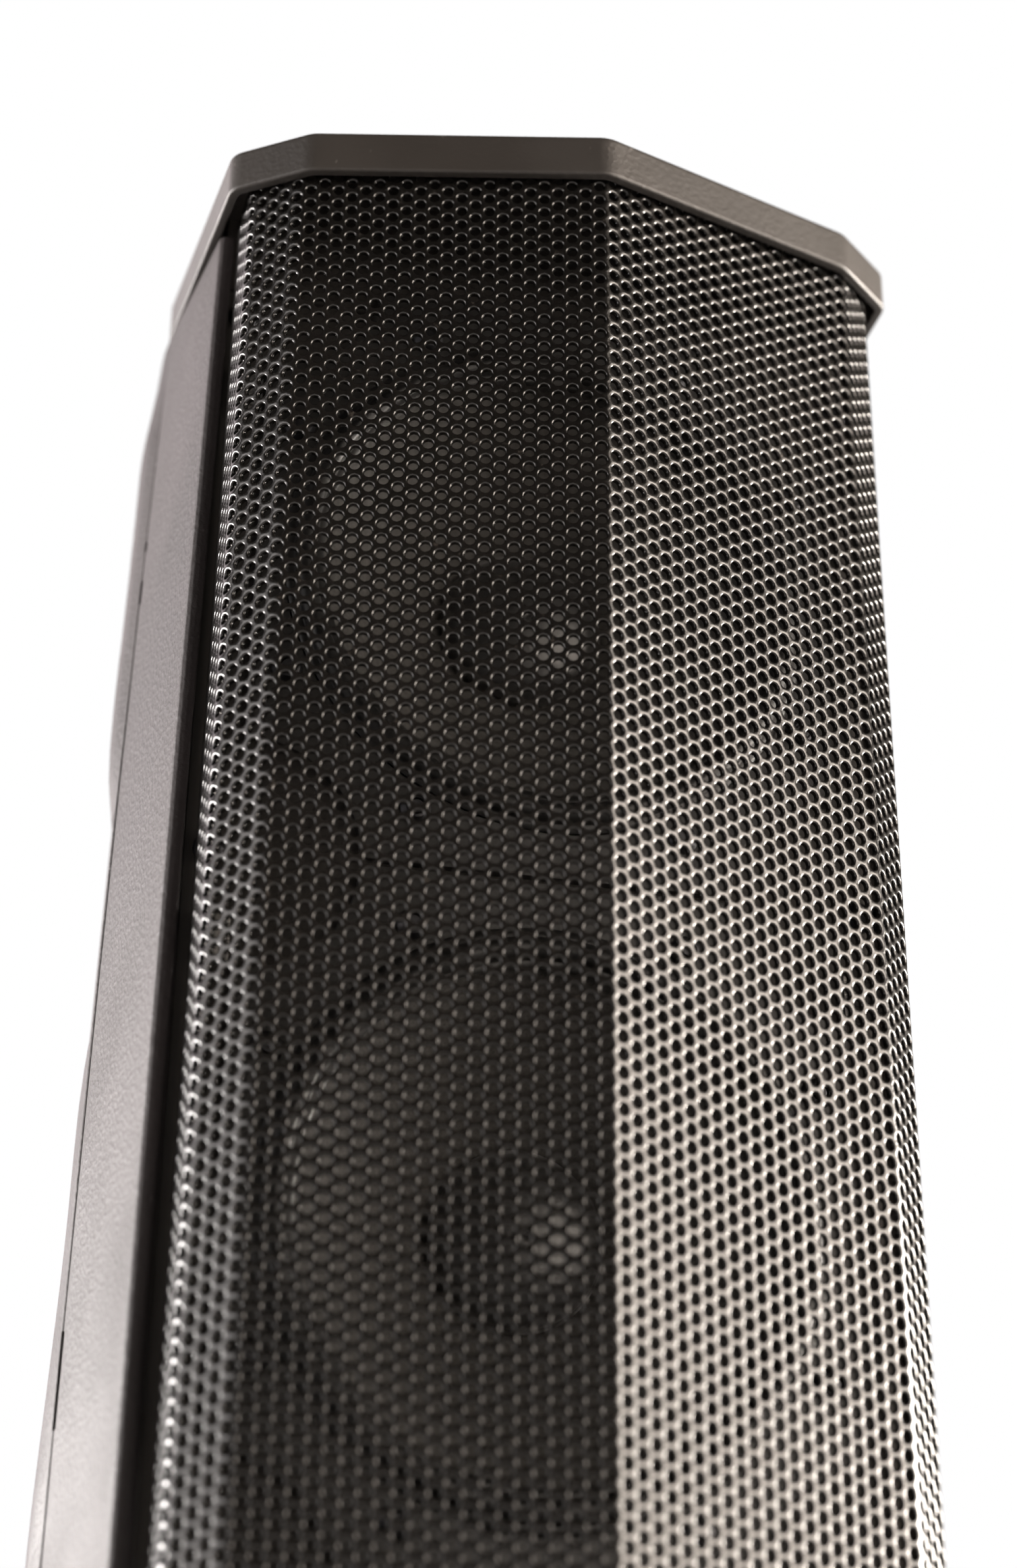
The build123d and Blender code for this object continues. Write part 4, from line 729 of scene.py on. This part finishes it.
def build_wadding(material):
    """Loose fleece in place of the plain blocks: remeshed and tufted."""
    source = NODES["wadding"]
    soft = bpy.data.objects.new("wadding_fleece", source.data.copy())
    bpy.context.scene.collection.objects.link(soft)
    remesh = soft.modifiers.new("cells", "REMESH")
    remesh.mode = "VOXEL"
    remesh.voxel_size = FLEECE_VOXEL
    depsgraph = bpy.context.evaluated_depsgraph_get()
    mesh = bpy.data.meshes.new_from_object(soft.evaluated_get(depsgraph))
    soft.modifiers.clear()
    soft.data = mesh
    count = len(mesh.vertices)
    co, no = np.zeros(count * 3, np.float32), np.zeros(count * 3, np.float32)
    mesh.vertices.foreach_get("co", co)
    mesh.vertices.foreach_get("normal", no)
    co, no = co.reshape(-1, 3), no.reshape(-1, 3)
    wave = np.zeros(count)
    for scale, share in FLEECE_TUFTS:
        wave += share * np.sin(scale * co[:, 0] + 1.7 * np.sin(scale * 0.6 * co[:, 2]))
        wave += share * np.sin(scale * co[:, 2] + 1.3 * np.sin(scale * 0.7 * co[:, 1] + 2.0))
    wave = (wave - wave.max()) / np.ptp(wave)
    co += no * (wave * FLEECE_DEPTH)[:, None]
    mesh.vertices.foreach_set("co", co.ravel())
    mesh.polygons.foreach_set("use_smooth", np.ones(len(mesh.polygons), bool))
    mesh.materials.clear()
    mesh.materials.append(material)
    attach(soft, "cabinet")
    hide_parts("wadding")


# ---- stage -----------------------------------------------------------------------------------
def build_world():
    world = bpy.data.worlds.new("studio")
    bpy.context.scene.world = world
    world.use_nodes = True
    tree = world.node_tree
    tree.nodes.clear()
    add = tree.nodes.new
    direction = add("ShaderNodeTexCoord").outputs["Generated"]
    total = None

    def lobe(towards, inner, outer, colour, strength):
        nonlocal total
        dot = add("ShaderNodeVectorMath")
        dot.operation = "DOT_PRODUCT"
        tree.links.new(direction, dot.inputs[0])
        dot.inputs[1].default_value = Vector(towards).normalized()
        span = add("ShaderNodeMapRange")
        span.interpolation_type = "SMOOTHSTEP"
        span.inputs["From Min"].default_value = math.cos(math.radians(outer))
        span.inputs["From Max"].default_value = math.cos(math.radians(inner))
        tree.links.new(dot.outputs["Value"], span.inputs["Value"])
        tint = add("ShaderNodeVectorMath")
        tint.operation = "SCALE"
        tint.inputs[0].default_value = Vector(colour) * strength
        tree.links.new(span.outputs[0], tint.inputs["Scale"])
        joined = add("ShaderNodeVectorMath")
        joined.operation = "ADD"
        if total is None:
            joined.inputs[0].default_value = AMBIENT
        else:
            tree.links.new(total, joined.inputs[0])
        tree.links.new(tint.outputs[0], joined.inputs[1])
        total = joined.outputs[0]

    for row in LOBES:
        lobe(*row)
    glow = add("ShaderNodeBackground")
    tree.links.new(total, glow.inputs["Color"])
    plain = add("ShaderNodeBackground")
    plain.inputs["Color"].default_value = (1, 1, 1, 1)
    seen = add("ShaderNodeLightPath").outputs["Is Camera Ray"]
    choose = add("ShaderNodeMixShader")
    tree.links.new(seen, choose.inputs[0])
    tree.links.new(glow.outputs[0], choose.inputs[1])
    tree.links.new(plain.outputs[0], choose.inputs[2])
    out = add("ShaderNodeOutputWorld")
    tree.links.new(choose.outputs[0], out.inputs["Surface"])


def build_floor():
    low = CAD_BOX[0].z
    corners = [(x * FLOOR_HALF, y * FLOOR_HALF, low) for x, y in ((-1, -1), (1, -1), (1, 1), (-1, 1))]
    mesh = bpy.data.meshes.new("floor")
    mesh.from_pydata(corners, [], [(0, 1, 2, 3)])
    s = Shader("floor_pale")
    cloud = s.noise(2.0, 2.0)
    mesh.materials.append(s.finish(s.mix(cloud, (0.80, 0.80, 0.80), (0.83, 0.83, 0.82)), 0.8))
    floor = bpy.data.objects.new("floor", mesh)
    bpy.context.scene.collection.objects.link(floor)


def build_camera():
    ridge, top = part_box("grille")[0].y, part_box("top_cap")[1].z
    data = bpy.data.cameras.new("camera")
    camera = bpy.data.objects.new("camera", data)
    bpy.context.scene.collection.objects.link(camera)
    camera.matrix_world = (
        Matrix.Translation(Vector((0, ridge, top)) + EYE)
        @ Matrix.Rotation(-YAW, 4, "Z")
        @ Matrix.Rotation(math.radians(90) + PITCH_UP, 4, "X")
        @ Matrix.Rotation(ROLL, 4, "Z")
    )
    data.lens = LENS
    data.sensor_width = SENSOR
    data.clip_start = 0.01
    data.dof.use_dof = True
    data.dof.aperture_fstop = F_STOP
    mark = bpy.data.objects.new("focus", None)
    bpy.context.scene.collection.objects.link(mark)
    mark.location = camera.matrix_world @ Vector((0, 0, -FOCUS))
    data.dof.focus_object = mark
    bpy.context.scene.camera = camera


# ---- assembly --------------------------------------------------------------------------------
dress_cad_nodes(slot_materials())
build_grille(grille_paint())
build_woofers({
    "surround": rubber("surround_rubber", (0.008, 0.008, 0.008), (0.022, 0.021, 0.020), 0.34),
    "cone": lambda k, away: pulp(f"cone_pulp_{k}", away, (0.036, 0.034, 0.031),
                                 (0.070, 0.066, 0.061), 0.6, 2200.0),
    "dome": lambda k, away: pulp(f"dome_pulp_{k}", away, (0.014, 0.014, 0.014),
                                 (0.026, 0.025, 0.024), 0.3, 1500.0, specular=0.6),
    "spider": woven("spider_cloth", (0.30, 0.20, 0.08), (0.55, 0.40, 0.20), 700.0),
})
build_wadding(fleece())
build_world()
build_floor()
build_camera()
bpy.context.scene.view_settings.view_transform = "Standard"
